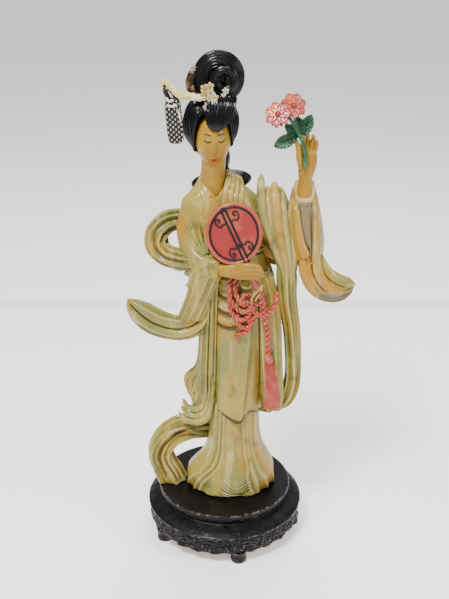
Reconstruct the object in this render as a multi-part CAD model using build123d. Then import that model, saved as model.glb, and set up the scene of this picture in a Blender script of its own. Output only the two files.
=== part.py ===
from build123d import *
import math
import os

# A cast-resin figurine of a standing lady in flowing robes, with a round fan in her right hand
# and a flower raised in her left. She stands on a round black two-tier stand.
# Frame: the origin is the centre of the stand's underside, +Z is up, the lady faces -Y,
# and +X is the side of her raised left hand. All sizes are millimetres.

# ---- Stand ----
DISC_TOP = 31.0  # the surface that the lady stands on
DISC_RADIUS = 41.8
TIER_RADIUS = 49.2
TIER_EDGE = 20.0  # height of the lower tier's sharp edge
BAND_BOTTOM = 7.0
BAND_INNER_RADIUS = 44.5
BAND_OUTER_RADIUS = 48.4
BAND_LOBES = 30
FOOT_COUNT = 5
FOOT_ORBIT = 43.5
FOOT_RADIUS = 5.0
FIRST_FOOT_ANGLE = -78.5

# ---- Body ----
# Ovals up the body: height, centre x, centre y, half width, half depth.
UNDER_SKIRT = (
    (DISC_TOP, 3.5, -2.0, 28.0, 21.0),
    (38.0, 3.8, -2.5, 26.5, 19.5),
    (50.0, 4.6, -3.0, 21.5, 16.5),
    (65.0, 5.3, -3.0, 16.5, 13.8),
    (80.0, 5.9, -3.0, 15.4, 13.0),
    (94.0, 6.5, -3.0, 15.4, 13.0),
)
ROBE_SKIRT = (
    (94.0, 8.5, -3.0, 17.0, 14.5),
    (112.0, 9.0, -3.0, 18.0, 15.0),
    (132.0, 9.5, -3.0, 19.0, 15.5),
    (152.0, 10.0, -3.0, 19.5, 15.5),
    (168.0, 9.5, -3.0, 19.3, 14.5),
    (178.0, 8.0, -3.0, 18.5, 13.0),
)
SASH = (
    (178.0, 8.0, -3.0, 18.5, 13.0),
    (183.0, 6.8, -3.0, 17.3, 12.2),
    (188.0, 5.5, -3.0, 17.5, 12.4),
)
BODICE = (
    (188.0, 5.5, -3.0, 17.5, 12.4),
    (198.0, 3.0, -3.0, 20.5, 13.4),
    (208.0, 0.0, -2.5, 23.5, 13.0),
    (216.0, -2.0, -2.0, 23.0, 11.5),
    (222.0, -4.0, -2.0, 15.0, 9.0),
    (226.0, -5.5, -2.0, 8.5, 7.5),
)
CLOTH_LIFT = 2.6  # how far an over-panel stands out from the robe under it
COLLAR_LIFT = 1.6

# ---- Head and hair ----
FACE_CENTRE = (-5.8, -7.0, 253.0)
FACE_SIZE = (9.2, 11.0, 13.5)  # half width, half depth, half height
NECK_RADIUS = 5.8
HAIR_CENTRE = (-6.5, -3.0, 261.5)
HAIR_SIZE = (13.6, 13.2, 16.0)
BUN_CENTRE = (-3.2, 0.0, 286.0)
BUN_RADIUS = 13.2
BUN_DEPTH = 9.0

# ---- Fan and flower ----
FAN_CENTRE = (5.2, -22.5, 206.0)
FAN_HALF = (15.4, 18.6)
FAN_THICK = 2.4
FAN_LEAN = 12.0  # degrees that the fan leans back on the chest
CORD_RADIUS = 1.1
TAIL_RADIUS = 1.5
STEM_RADIUS = 0.95
BLOSSOM_RADIUS = 7.2
PETALS = 7

SMALLEST_SOLID = 2.0  # cubic mm; smaller offcuts of a joint between two pieces are dropped


def body(stations):
    """A closed solid through level ovals."""
    return loft([Pos(x, y, z) * Ellipse(wide, deep) for z, x, y, wide, deep in stations])


def grown(stations, by):
    """The same ovals, wider and deeper by a fixed amount."""
    return [(z, x, y, wide + by, deep + by) for z, x, y, wide, deep in stations]


def band(route, across):
    """A closed solid along a route of (x, y, z, half width, half thickness).

    The half width is measured along 'across', squared up to the route."""
    sections = []
    for i, (x, y, z, half_width, half_thick) in enumerate(route):
        before = Vector(*route[max(i - 1, 0)][:3])
        after = Vector(*route[min(i + 1, len(route) - 1)][:3])
        toward = (after - before).normalized()
        side = Vector(*across)
        side = (side - toward * side.dot(toward)).normalized()
        sections.append(Plane((x, y, z), x_dir=side, z_dir=toward) * Ellipse(half_width, half_thick))
    return loft(sections)


def curl(route):
    """A band that turns in a loop seen from the front; its half width is across the turn."""
    sections = []
    for i, (x, y, z, half_width, half_thick) in enumerate(route):
        before = Vector(*route[max(i - 1, 0)][:3])
        after = Vector(*route[min(i + 1, len(route) - 1)][:3])
        toward = (after - before).normalized()
        side = toward.cross(Vector(0, 1, 0)).normalized()
        sections.append(Plane((x, y, z), x_dir=side, z_dir=toward) * Ellipse(half_width, half_thick))
    return loft(sections)


def cord(points, radius):
    """A round cord on a smooth curve through the points."""
    path = Spline(*points)
    return sweep(Plane(path @ 0, z_dir=path % 0) * Circle(radius), path=path)


def egg(centre, size):
    """An ellipsoid."""
    return Pos(*centre) * scale(Sphere(1), by=size)


def rod(start, end, radius):
    """A straight round rod between two points."""
    start, end = Vector(*start), Vector(*end)
    length = (end - start).length
    return Plane(start, z_dir=end - start) * Cylinder(
        radius, length, align=(Align.CENTER, Align.CENTER, Align.MIN)
    )


def front_cutter(outline):
    """A prism of an outline in X and Z, through the front half of the body."""
    face = make_face(Polyline(*[(x, 0, z) for x, z in outline], close=True))
    return extrude(face, amount=60, dir=(0, -1, 0))


# ---- Stand ----
def stand_top_disc():
    profile = Polyline(
        (0, 25),
        (39.0, 25),
        (DISC_RADIUS, 27.2),
        (DISC_RADIUS, 30.2),
        (DISC_RADIUS - 0.8, DISC_TOP),
        (0, DISC_TOP),
        close=True,
    )
    return revolve(Plane.XZ * make_face(profile), axis=Axis.Z)


def stand_lower_tier():
    profile = Polyline(
        (0, BAND_BOTTOM),
        (BAND_INNER_RADIUS, BAND_BOTTOM),
        (BAND_INNER_RADIUS, 18.5),
        (TIER_RADIUS - 0.6, 18.5),
        (TIER_RADIUS, 19.2),
        (TIER_RADIUS - 0.4, TIER_EDGE),
        (43.0, 22.5),
        (39.0, 25),
        (0, 25),
        close=True,
    )
    return revolve(Plane.XZ * make_face(profile), axis=Axis.Z)


def stand_carved_band():
    ring = Cylinder(BAND_OUTER_RADIUS - 1.2, 11.0, align=(Align.CENTER, Align.CENTER, Align.MIN))
    ring = Pos(0, 0, BAND_BOTTOM + 0.5) * ring
    for i in range(BAND_LOBES):
        lobe = Cylinder(2.6, 10.0, align=(Align.CENTER, Align.CENTER, Align.MIN))
        ring += (
            Rot(0, 0, 360 / BAND_LOBES * i) * Pos(BAND_OUTER_RADIUS - 2.6, 0, BAND_BOTTOM + 1.0) * lobe
        )
    core = Cylinder(BAND_INNER_RADIUS, 40)
    return ring - core


def stand_feet():
    feet = []
    for i in range(FOOT_COUNT):
        angle = math.radians(FIRST_FOOT_ANGLE + 360 / FOOT_COUNT * i)
        place = Pos(FOOT_ORBIT * math.cos(angle), FOOT_ORBIT * math.sin(angle), 0)
        foot = Cylinder(FOOT_RADIUS, BAND_BOTTOM, align=(Align.CENTER, Align.CENTER, Align.MIN))
        feet.append(place * foot)
    return Compound(children=feet)


# ---- Inner pegs ----
def stand_peg():
    return Pos(3.5, -2, 14) * Cylinder(4, 36, align=(Align.CENTER, Align.CENTER, Align.MIN))


def neck_peg():
    return rod((-5.8, -3, 208), (-5.8, -4.5, 238), 2.0)


def left_wrist_peg():
    return rod((44.4, -8, 206), (44.6, -9, 232), 1.8)


def right_wrist_peg():
    return rod((-16, -18.5, 183.5), (0, -24.2, 183.5), 1.6)


# ---- Head and hair ----
def head():
    skull = egg(FACE_CENTRE, FACE_SIZE)
    neck = body(
        (
            (219.0, -5.8, -3.0, NECK_RADIUS + 1.2, NECK_RADIUS + 0.6),
            (228.0, -5.8, -3.4, NECK_RADIUS, NECK_RADIUS - 0.2),
            (246.0, -5.6, -5.0, NECK_RADIUS, NECK_RADIUS + 0.6),
        )
    )
    return skull + neck


def hair_cap():
    cap = egg(HAIR_CENTRE, HAIR_SIZE)
    face_opening = Pos(-6.0, -18, 251.5) * scale(Cylinder(1, 22, rotation=(90, 0, 0)), by=(8.6, 1, 13.0))
    below_jaw = Pos(-6, -16, 236) * Box(40, 26, 16)
    return cap - face_opening - below_jaw


def forelock():
    return egg((-3.6, -15.0, 265.0), (5.8, 4.0, 6.2))


def top_bun():
    drum = scale(Sphere(1), by=(BUN_RADIUS, BUN_DEPTH, BUN_RADIUS))
    return Pos(*BUN_CENTRE) * drum


def bun_coil():
    ring = Torus(5.6, 2.6)
    return Pos(-1.6, -8.0, 284.5) * (Rot(90, 0, 0) * ring)


def nape_bun():
    return egg((-1.8, 10.5, 231.0), (16.2, 6.5, 6.0))


def hairpin():
    """A curved bar, a little thicker at its curled tip."""
    bar = (
        (-6.0, -12.5, 277.5, 1.9, 1.9),
        (-15.0, -12.5, 278.2, 1.9, 1.9),
        (-24.0, -12.0, 281.2, 1.9, 1.9),
        (-30.0, -11.6, 284.6, 2.3, 2.3),
        (-33.0, -11.4, 286.6, 2.0, 2.0),
    )
    return band(bar, (0, 1, 0))


def hair_pendant():
    strap = rod((-30.6, -11.2, 286.0), (-29.0, -10.8, 277.5), 1.4)
    drum = Pos(-26.8, -10.5, 265.0) * (Rot(0, -6, 0) * Box(8.6, 4.0, 25.0))
    drum = fillet(drum.edges().filter_by(Axis.Y), 3.4)
    return strap + drum


def hair_blossoms():
    beads = (
        (-11.0, -14.0, 281.5, 2.6),
        (-7.0, -14.5, 283.0, 2.4),
        (-8.5, -15.0, 278.8, 2.8),
        (-5.0, -15.2, 276.0, 2.4),
        (-10.0, -15.5, 272.5, 2.2),
        (-7.2, -17.0, 269.8, 2.2),
        (1.5, -12.8, 278.5, 2.4),
        (4.0, -12.0, 275.0, 2.4),
        (8.6, -9.5, 270.4, 2.2),
    )
    return Compound(children=[Pos(x, y, z) * Sphere(r) for x, y, z, r in beads])


# ---- Hands, fan, cord ----
def right_hand():
    wrist_to_tips = (
        (-6.0, -22.4, 183.6, 3.9, 3.9),
        (1.0, -24.4, 183.4, 3.7, 3.8),
        (8.0, -26.0, 183.4, 4.6, 3.6),
        (15.0, -26.4, 184.0, 4.6, 3.2),
        (21.0, -25.6, 184.6, 3.4, 2.4),
    )
    return band(wrist_to_tips, (0, 0, 1))


def left_hand():
    palm = band(
        (
            (44.4, -8.2, 220.0, 4.6, 4.4),
            (44.6, -9.0, 230.0, 4.4, 4.0),
            (44.8, -9.6, 240.0, 5.4, 3.4),
            (45.6, -9.6, 248.0, 4.6, 2.8),
            (47.2, -9.0, 256.0, 2.2, 1.8),
        ),
        (1, 0, 0),
    )
    first_finger = rod((42.0, -10.8, 243.0), (39.0, -12.0, 256.5), 1.7)
    return palm + first_finger


def fan_frame():
    return Pos(*FAN_CENTRE) * Rot(-FAN_LEAN, 0, 0)


def fan_disc():
    disc = extrude(Plane.XZ * Ellipse(*FAN_HALF), amount=FAN_THICK / 2, both=True)
    return fan_frame() * disc


def fan_handle():
    rib = Box(2.2, 1.2, 35.0)
    rib = Rot(0, -25, 0) * rib
    grip = rod((12.5, -25.0, 189.5), (17.0, -29.0, 177.5), 1.5)
    return fan_frame() * (Pos(0, -FAN_THICK / 2 - 0.6, 0) * rib) + grip


def fan_cord():
    drop = (
        (18.2, -25.0, 181.0),
        (21.0, -24.0, 170.0),
        (23.4, -22.6, 157.0),
        (25.0, -21.4, 143.0),
        (25.6, -21.4, 129.0),
    )
    return cord(drop, CORD_RADIUS)


def cord_bow():
    left_loop = (
        (3.0, -21.5, 177.5),
        (3.2, -22.0, 168.0),
        (6.2, -22.3, 160.0),
        (12.0, -22.6, 157.0),
        (15.6, -22.6, 161.0),
    )
    low_loop = (
        (6.8, -21.9, 157.5),
        (8.0, -21.9, 151.0),
        (12.6, -21.9, 148.6),
        (16.0, -22.2, 153.0),
        (16.2, -22.6, 158.5),
    )
    right_hook = (
        (17.5, -22.8, 158.0),
        (23.2, -24.4, 158.0),
        (28.4, -21.2, 162.0),
        (29.4, -18.8, 168.0),
    )
    tail = ((15.6, -21.6, 149.0), (12.0, -21.2, 144.5), (7.6, -21.0, 142.6))
    bow = egg((15.4, -22.8, 165.0), (5.2, 2.0, 4.2))
    for route in (left_loop, low_loop, right_hook):
        bow += cord(route, CORD_RADIUS)
    return bow + cord(tail, TAIL_RADIUS)


def tassel():
    return body(
        (
            (94.5, 28.6, -19.6, 4.6, 3.4),
            (104.0, 28.2, -19.9, 4.4, 3.3),
            (118.0, 27.0, -20.4, 3.2, 2.8),
            (127.0, 26.0, -21.0, 2.4, 2.3),
            (130.0, 25.6, -21.4, 1.7, 1.7),
        )
    )


# ---- Flower ----
def flower_stem():
    points = (
        (43.4, -13.8, 238.5),
        (43.6, -14.2, 247.0),
        (42.2, -14.2, 254.0),
        (38.6, -14.0, 261.5),
        (34.0, -13.8, 267.0),
    )
    return cord(points, STEM_RADIUS)


def blossom(centre, turn):
    """A rosette of round petals with a raised eye, facing up and forward."""
    outline = Circle(BLOSSOM_RADIUS * 0.5)
    for i in range(PETALS):
        petal = Pos(BLOSSOM_RADIUS * 0.62, 0) * Ellipse(BLOSSOM_RADIUS * 0.38, BLOSSOM_RADIUS * 0.3)
        outline += Rot(0, 0, 360 / PETALS * i) * petal
    shape = extrude(outline, amount=2.4) + Cylinder(2.2, 6.4)
    return Pos(*centre) * Rot(62, 0, turn) * shape


def front_blossom():
    return blossom((28.4, -18.0, 268.4), -14)


def back_blossom():
    return blossom((36.4, -14.5, 273.0), 10)


def leaf(root, tip, half_width):
    middle = [(a + b) / 2 for a, b in zip(root, tip)]
    route = (
        (*root, 1.0, 0.9),
        (*middle, half_width, 1.4),
        (*tip, 0.8, 0.6),
    )
    return band(route, (0, 0.35, 1))


def large_leaf():
    return leaf((38.6, -13.2, 257.5), (46.2, -9.6, 265.8), 4.2)


def small_leaf():
    return leaf((38.0, -14.4, 256.0), (27.6, -15.4, 251.8), 3.0)


# ---- Robe ----
def under_skirt():
    return body(UNDER_SKIRT)


def robe_skirt():
    return body(ROBE_SKIRT)


def waist_sash():
    return body(SASH)


def robe_bodice():
    return body(BODICE)


def apron_panel():
    """The long front panel, with a hem that drops to a point."""
    outline = (
        (-8.0, 176),
        (-8.6, 130),
        (-6.4, 89.5),
        (1.0, 85.0),
        (6.4, 82.0),
        (10.6, 88.5),
        (13.5, 120),
        (15.8, 156),
        (16.0, 176),
    )
    wide = ((80.0, 8.2, -3.0, 16.6, 14.4), *ROBE_SKIRT)
    return body(grown(wide, CLOTH_LIFT)) & front_cutter(outline)


def side_panel():
    route = (
        (89.0, 28.6, -9.5, 5.0, 5.5),
        (100.0, 28.4, -9.5, 6.6, 7.0),
        (125.0, 26.6, -9.0, 7.4, 8.8),
        (150.0, 25.0, -8.0, 7.6, 10.0),
        (170.0, 22.6, -6.5, 6.4, 9.0),
    )
    return body(route)


def pleated_panel():
    route = (
        (90.0, -11.6, -10.0, 5.6, 6.0),
        (120.0, -10.8, -11.0, 5.6, 6.0),
        (150.0, -9.2, -12.5, 5.0, 5.6),
        (174.0, -8.0, -14.0, 4.4, 5.0),
    )
    return body(route)


def right_hanging_drape():
    route = (
        (76.0, -15.4, -5.0, 5.6, 5.0),
        (84.0, -17.0, -5.0, 8.4, 7.5),
        (94.0, -17.2, -5.0, 7.6, 8.0),
        (105.0, -15.8, -4.5, 7.8, 8.5),
        (118.0, -13.0, -4.0, 5.4, 9.0),
        (135.0, -10.4, -4.0, 5.0, 9.0),
        (152.0, -7.5, -4.0, 4.5, 9.0),
    )
    return body(route)


def left_lapel():
    """The lapel from the left side of her neck to her waist."""
    outline = (
        (-8.4, 190),
        (-3.6, 190),
        (-1, 203),
        (7.4, 220),
        (7.4, 226),
        (0, 226),
        (-0.5, 219),
        (-6.4, 205),
    )
    return body(grown(BODICE, COLLAR_LIFT)) & front_cutter(outline)


def right_lapel():
    """The lapel from the right side of her neck, which ends under the fan."""
    outline = ((-16, 219.5), (-12, 221), (-5.4, 211), (-7.6, 206.5))
    return body(grown(BODICE, COLLAR_LIFT)) & front_cutter(outline)


# ---- Sleeves ----
def right_sleeve():
    route = (
        (-14.0, -1.5, 212.0, 9.5, 9.5),
        (-20.5, -3.5, 203.0, 9.0, 9.5),
        (-22.5, -8.0, 193.0, 8.2, 8.5),
        (-19.5, -13.5, 185.5, 7.2, 7.0),
        (-13.0, -18.5, 183.2, 6.4, 6.2),
        (-6.0, -22.2, 183.4, 5.2, 5.0),
    )
    return band(route, (0, 0, 1))


def right_sleeve_drop():
    route = (
        (151.0, -19.6, -14.0, 8.4, 5.6),
        (162.0, -18.6, -14.5, 7.4, 6.4),
        (173.0, -17.6, -15.0, 7.0, 7.0),
        (184.0, -15.5, -15.0, 6.6, 7.0),
    )
    return body(route)


def right_trumpet_sleeve():
    route = (
        (-13.5, -13.5, 150.0, 6.0, 4.4),
        (-20.0, -13.5, 147.0, 7.6, 5.0),
        (-30.0, -13.0, 146.6, 8.6, 5.2),
        (-40.0, -12.5, 148.0, 9.4, 5.0),
        (-49.0, -11.5, 152.4, 8.6, 4.2),
        (-55.0, -10.8, 157.4, 3.4, 2.0),
    )
    return band(route, (0, 0, 1))


def left_upper_sleeve():
    route = (
        (12.0, -1.0, 212.0, 9.0, 9.0),
        (22.0, 0.0, 206.0, 12.0, 8.0),
        (32.0, -1.5, 200.0, 17.0, 7.0),
        (40.0, -4.0, 198.0, 14.0, 6.0),
    )
    return band(route, (0, 0, 1))


def left_cuff_sleeve():
    route = (
        (184.0, 47.6, -7.0, 8.2, 8.4),
        (198.0, 45.4, -7.0, 9.6, 9.6),
        (211.0, 44.0, -7.4, 8.8, 8.8),
        (222.0, 43.8, -8.0, 7.2, 7.0),
        (229.0, 44.2, -8.4, 5.6, 5.6),
    )
    return body(route)


def left_trumpet_sleeve():
    route = (
        (47.6, -7.0, 186.0, 7.0, 6.6),
        (50.0, -7.0, 177.0, 7.2, 6.0),
        (56.5, -6.8, 169.0, 8.2, 5.2),
        (65.0, -6.5, 165.4, 8.0, 4.4),
        (74.0, -6.5, 165.0, 4.2, 2.2),
    )
    return band(route, (1, 0, 1))


# ---- Stole and train ----
def stole_fall():
    route = (
        (20.5, -2.5, 229.0, 4.8, 3.2),
        (24.0, -7.5, 216.0, 6.6, 3.6),
        (29.6, -9.5, 196.0, 6.6, 3.8),
        (33.4, -10.0, 176.0, 4.8, 3.8),
        (36.0, -9.5, 158.0, 4.6, 4.0),
        (39.6, -9.0, 140.0, 4.4, 4.0),
        (41.2, -8.0, 120.0, 4.3, 4.0),
        (41.0, -6.5, 105.0, 4.5, 4.2),
        (37.4, -3.0, 92.6, 4.8, 4.4),
        (30.0, 2.0, 86.0, 5.0, 4.6),
        (21.0, 5.0, 86.0, 5.0, 4.6),
    )
    return band(route, (1, 0, 0.2))


def stole_loop():
    route = (
        (-17.0, 9.0, 206.0, 5.0, 4.0),
        (-27.0, 8.0, 208.6, 5.2, 4.4),
        (-36.0, 5.0, 205.6, 5.4, 4.8),
        (-40.4, 1.0, 197.6, 5.6, 5.0),
        (-36.8, -4.0, 189.2, 5.6, 5.0),
        (-29.2, -8.5, 185.0, 5.2, 4.6),
        (-23.4, -11.5, 184.6, 4.2, 3.8),
    )
    return curl(route)


def stole_folds():
    route = (
        (-36.0, -5.0, 186.5, 2.6, 3.0),
        (-29.0, -9.0, 182.0, 4.6, 4.4),
        (-24.0, -12.0, 174.0, 4.2, 4.4),
        (-21.5, -13.5, 165.0, 2.6, 3.0),
    )
    return band(route, (1, 0, 1))


def train_loop():
    route = (
        (-5.0, 4.0, 72.0, 5.0, 4.0),
        (-18.0, 4.0, 72.0, 5.6, 4.6),
        (-30.0, 3.0, 68.4, 6.0, 5.2),
        (-39.0, 1.5, 60.0, 7.0, 5.6),
        (-41.2, 0.0, 49.0, 7.2, 6.0),
        (-37.0, -2.0, 39.0, 7.4, 6.6),
        (-30.0, -3.0, 32.0, 7.6, 7.0),
    )
    above_disc = Box(200, 200, 120, align=(Align.CENTER, Align.CENTER, Align.MIN))
    return curl(route) & (Pos(0, 0, DISC_TOP) * above_disc)


# ---- Assembly ----
# Pieces in the order they keep their shape: each later piece is cut to fit round the earlier ones.
MAKERS = (
    stand_peg,
    neck_peg,
    left_wrist_peg,
    right_wrist_peg,
    stand_top_disc,
    stand_lower_tier,
    stand_carved_band,
    stand_feet,
    head,
    forelock,
    hairpin,
    hair_pendant,
    hair_blossoms,
    bun_coil,
    top_bun,
    hair_cap,
    fan_handle,
    fan_disc,
    right_hand,
    flower_stem,
    left_hand,
    front_blossom,
    back_blossom,
    large_leaf,
    small_leaf,
    fan_cord,
    cord_bow,
    tassel,
    robe_bodice,
    waist_sash,
    robe_skirt,
    under_skirt,
    nape_bun,
    left_lapel,
    right_lapel,
    apron_panel,
    side_panel,
    pleated_panel,
    right_sleeve,
    right_sleeve_drop,
    right_trumpet_sleeve,
    left_cuff_sleeve,
    left_upper_sleeve,
    left_trumpet_sleeve,
    stole_fall,
    right_hanging_drape,
    stole_folds,
    stole_loop,
    train_loop,
)


def apart(box, other):
    """True where two bounding boxes don't meet."""
    return (
        box.min.X > other.max.X
        or other.min.X > box.max.X
        or box.min.Y > other.max.Y
        or other.min.Y > box.max.Y
        or box.min.Z > other.max.Z
        or other.min.Z > box.max.Z
    )


def fitted_round(solid, placed):
    """The solids left of one solid once the placed ones are cut out of it."""
    box = solid.bounding_box()
    pieces = [solid]
    for other, other_box in placed:
        if not apart(box, other_box):
            pieces = [part for piece in pieces for part in piece.cut(other).solids()]
    return [piece for piece in pieces if piece.volume > SMALLEST_SOLID]


os.makedirs("parts", exist_ok=True)
placed = []
for maker in MAKERS:
    solids = [piece for solid in maker().solids() for piece in fitted_round(solid, placed)]
    placed += [(solid, solid.bounding_box()) for solid in solids]
    node = solids[0] if len(solids) == 1 else Compound(children=solids)
    node.label = maker.__name__
    export_step(node, "parts/" + maker.__name__ + ".step")
    print(maker.__name__, [round(solid.volume, 1) for solid in solids])
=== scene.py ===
import math

import bpy
import numpy as np
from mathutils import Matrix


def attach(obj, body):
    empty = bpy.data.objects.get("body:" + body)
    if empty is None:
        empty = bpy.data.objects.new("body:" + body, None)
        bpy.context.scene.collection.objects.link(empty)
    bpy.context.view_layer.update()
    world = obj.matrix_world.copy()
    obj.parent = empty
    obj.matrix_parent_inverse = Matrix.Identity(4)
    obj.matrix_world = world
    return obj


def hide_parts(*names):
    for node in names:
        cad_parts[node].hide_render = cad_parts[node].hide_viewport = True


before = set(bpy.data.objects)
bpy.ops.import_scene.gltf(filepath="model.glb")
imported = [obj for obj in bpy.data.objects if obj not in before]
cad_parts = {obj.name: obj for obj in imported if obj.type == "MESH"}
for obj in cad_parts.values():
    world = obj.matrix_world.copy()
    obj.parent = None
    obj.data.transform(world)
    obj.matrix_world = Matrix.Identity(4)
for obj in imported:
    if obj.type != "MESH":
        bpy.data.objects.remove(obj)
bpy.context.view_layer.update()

MM = 0.001
FRONT = -90.0  # the angle round a level section that faces -Y, in degrees

# ---- Camera: distance and height of the eye, tilt, and the lens ----
EYE_DISTANCE = 0.478
EYE_HEIGHT = 0.354
TILT_DOWN = 22.5
LENS = 52.3


# ======================================================================================
# Shape tools
# ======================================================================================
def smooth(rows, count):
    """Rows of numbers sampled along the smooth curve through them."""
    rows = np.array(rows, float)
    ends = np.vstack([2 * rows[0] - rows[1], rows, 2 * rows[-1] - rows[-2]])
    place = np.linspace(0, len(rows) - 1, count)
    i = np.minimum(place.astype(int), len(rows) - 2)
    f = (place - i)[:, None]
    a, b, c, d = (ends[i + k] for k in range(4))
    return 0.5 * (2 * b + (c - a) * f + (2 * a - 5 * b + 4 * c - d) * f**2 + (3 * b - a - 3 * c + d) * f**3)


def unit(v):
    return v / np.maximum(np.linalg.norm(v, axis=-1, keepdims=True), 1e-9)


def step(x, low, high):
    """0 below low, 1 above high, smooth between."""
    t = np.clip((x - low) / (high - low), 0, 1)
    return t * t * (3 - 2 * t)


def window(x, start, end, soft):
    """1 between start and end, fading to 0 over soft on each side."""
    return step(x, start - soft, start + soft) * (1 - step(x, end - soft, end + soft))


def turned(a, b):
    """The difference of two angles in degrees, from -180 to 180."""
    return (a - b + 180) % 360 - 180


FOLD_DEPTH = 1.45  # all the drawn folds are this much deeper than their stated height


def ridge(u, a, line, width, height, soft=0.06):
    """A fold that runs along a line of (u, angle) points: a crest, or a groove if height is below 0."""
    us, angles = zip(*line)
    middle = np.interp(u, us, angles)
    away = np.abs(turned(a, middle)) / width
    return FOLD_DEPTH * height * np.exp(-(away**1.5)) * window(u, us[0], us[-1], soft)


def swag(u, a, middle, half, u_low, sag, width, height):
    """A fold that hangs in a U between two sides: lowest at the middle angle."""
    x = turned(a, middle) / half
    line = u_low + sag * x**2
    return FOLD_DEPTH * height * np.exp(-np.abs((u - line) / width) ** 1.5) * (1 - step(np.abs(x), 0.7, 1.1))


def pleats(u, a, count, height, drift=0.0, phase=0.0, sharp=1.6):
    """Folds all round, with narrow crests and wide hollows."""
    wave = 0.5 + 0.5 * np.cos(np.radians(count * a + phase + drift * 360 * u))
    return FOLD_DEPTH * height * (2 * wave**sharp - 1)


def mesh_piece(name, points, faces, material, cavity=10):
    """A new object from points in millimetres."""
    mesh = bpy.data.meshes.new(name)
    mesh.from_pydata([tuple(p) for p in np.asarray(points) * MM], [], faces)
    mesh.validate()
    mesh.update()
    piece = bpy.data.objects.new(name, mesh)
    bpy.context.collection.objects.link(piece)
    mesh.polygons.foreach_set("use_smooth", [True] * len(mesh.polygons))
    mesh.materials.append(material)
    if cavity:
        paint_cavity(mesh, cavity)
    return piece


def paint_cavity(mesh, rounds):
    """Stores how hollow the surface is at each point, below 0 on crests, for materials to paint shade into
    the hollows and lighter colour onto the crests.
    """
    count = len(mesh.vertices)
    places = np.empty(count * 3)
    mesh.vertices.foreach_get("co", places)
    places = places.reshape(-1, 3) / MM
    normals = np.empty(count * 3)
    mesh.vertex_normals.foreach_get("vector", normals)
    normals = normals.reshape(-1, 3)
    edges = np.empty(len(mesh.edges) * 2, int)
    mesh.edges.foreach_get("vertices", edges)
    edges = edges.reshape(-1, 2)
    links = np.maximum(np.bincount(edges.ravel(), minlength=count), 1)[:, None]
    softened = places.copy()
    for _ in range(rounds):
        total = np.zeros_like(places)
        for k in range(3):
            total[:, k] = np.bincount(edges[:, 0], softened[edges[:, 1], k], count)
            total[:, k] += np.bincount(edges[:, 1], softened[edges[:, 0], k], count)
        softened = 0.4 * softened + 0.6 * total / links
    hollow = np.einsum("ij,ij->i", softened - places, normals)
    if "cavity" in mesh.attributes:
        mesh.attributes.remove(mesh.attributes["cavity"])
    layer = mesh.attributes.new("cavity", "FLOAT", "POINT")
    layer.data.foreach_set("value", hollow.astype(np.float32))


def grid_faces(rings, around, closed=True):
    """Quads over a grid of points, row after row."""
    faces = []
    across = around if closed else around - 1
    for i in range(rings - 1):
        for j in range(across):
            k = (j + 1) % around
            faces.append((i * around + j, i * around + k, (i + 1) * around + k, (i + 1) * around + j))
    return faces


def loft_points(rows, folds=None, across=(1, 0, 0), level=False, rings=120, around=96, power=1.0):
    """Points of a closed skin through ovals.

    A row is x, y, z, half width, half thickness and, if wanted, the section's turn in degrees.
    folds(u, angle) lifts the skin in millimetres, with u from 0 to 1 along the rows."""
    rows = [tuple(r) + (0.0,) * (6 - len(r)) for r in rows]
    path = smooth(rows, rings)
    centre = path[:, :3]
    toward = unit(np.gradient(centre, axis=0))
    if level:
        toward = np.tile((0.0, 0.0, 1.0), (rings, 1))
    side = np.tile(np.array(across, float), (rings, 1))
    side = unit(side - toward * np.sum(side * toward, axis=1, keepdims=True))
    up = np.cross(toward, side)
    turn = np.radians(path[:, 5])[:, None]
    side, up = side * np.cos(turn) + up * np.sin(turn), up * np.cos(turn) - side * np.sin(turn)
    angle = np.linspace(0, 2 * np.pi, around, endpoint=False)
    cos, sin = np.cos(angle), np.sin(angle)
    if power != 1.0:
        cos, sin = np.sign(cos) * np.abs(cos) ** power, np.sign(sin) * np.abs(sin) ** power
    wide = np.maximum(path[:, 3:4], 0.02)
    thick = np.maximum(path[:, 4:5], 0.02)
    along_side, along_up = wide * cos, thick * sin
    out_side, out_up = cos / wide, sin / thick
    size = np.sqrt(out_side**2 + out_up**2)
    out_side, out_up = out_side / size, out_up / size
    lift = 0.0
    if folds is not None:
        u = np.linspace(0, 1, rings)[:, None] * np.ones((1, around))
        a = np.degrees(angle)[None, :] * np.ones((rings, 1))
        lift = folds(u, turned(a, 0))
    along_side = along_side + lift * out_side
    along_up = along_up + lift * out_up
    sideways = along_side[..., None] * side[:, None, :]
    upward = along_up[..., None] * up[:, None, :]
    return centre[:, None, :] + sideways + upward


def close_ends(points):
    """The grid's points and faces with a fan over each end."""
    rings, around = points.shape[:2]
    faces = grid_faces(rings, around)
    flat = points.reshape(-1, 3)
    first, last = len(flat), len(flat) + 1
    flat = np.vstack([flat, points[0].mean(axis=0), points[-1].mean(axis=0)])
    start = (rings - 1) * around
    for j in range(around):
        k = (j + 1) % around
        faces.append((first, k, j))
        faces.append((last, start + j, start + k))
    return flat, faces


def loft(name, rows, material, folds=None, cavity=10, **shape):
    flat, faces = close_ends(loft_points(rows, folds, **shape))
    return mesh_piece(name, flat, faces, material, cavity=cavity)


def joined(name, parts, material, cavity=0):
    """One piece from several (points, faces) sets."""
    points, faces, base = [], [], 0
    for some, their in parts:
        points.append(np.asarray(some))
        faces += [tuple(v + base for v in face) for face in their]
        base += len(some)
    return mesh_piece(name, np.vstack(points), faces, material, cavity=cavity)


def tube(path, radius, around=12, taper=None, count=None, flat=1.0, across=(0.3, 0.2, 1.0)):
    """Points and faces of a round cord on the smooth curve through a path."""
    count = count or len(path) * 10
    centre = smooth(path, count)
    radii = np.full(count, float(radius))
    if taper is not None:
        radii = radius * np.interp(np.linspace(0, 1, count), *zip(*taper))
    rows = np.column_stack([centre, radii, radii * flat])
    points = loft_points(rows, across=across, rings=count, around=around)
    return close_ends(points)


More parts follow.
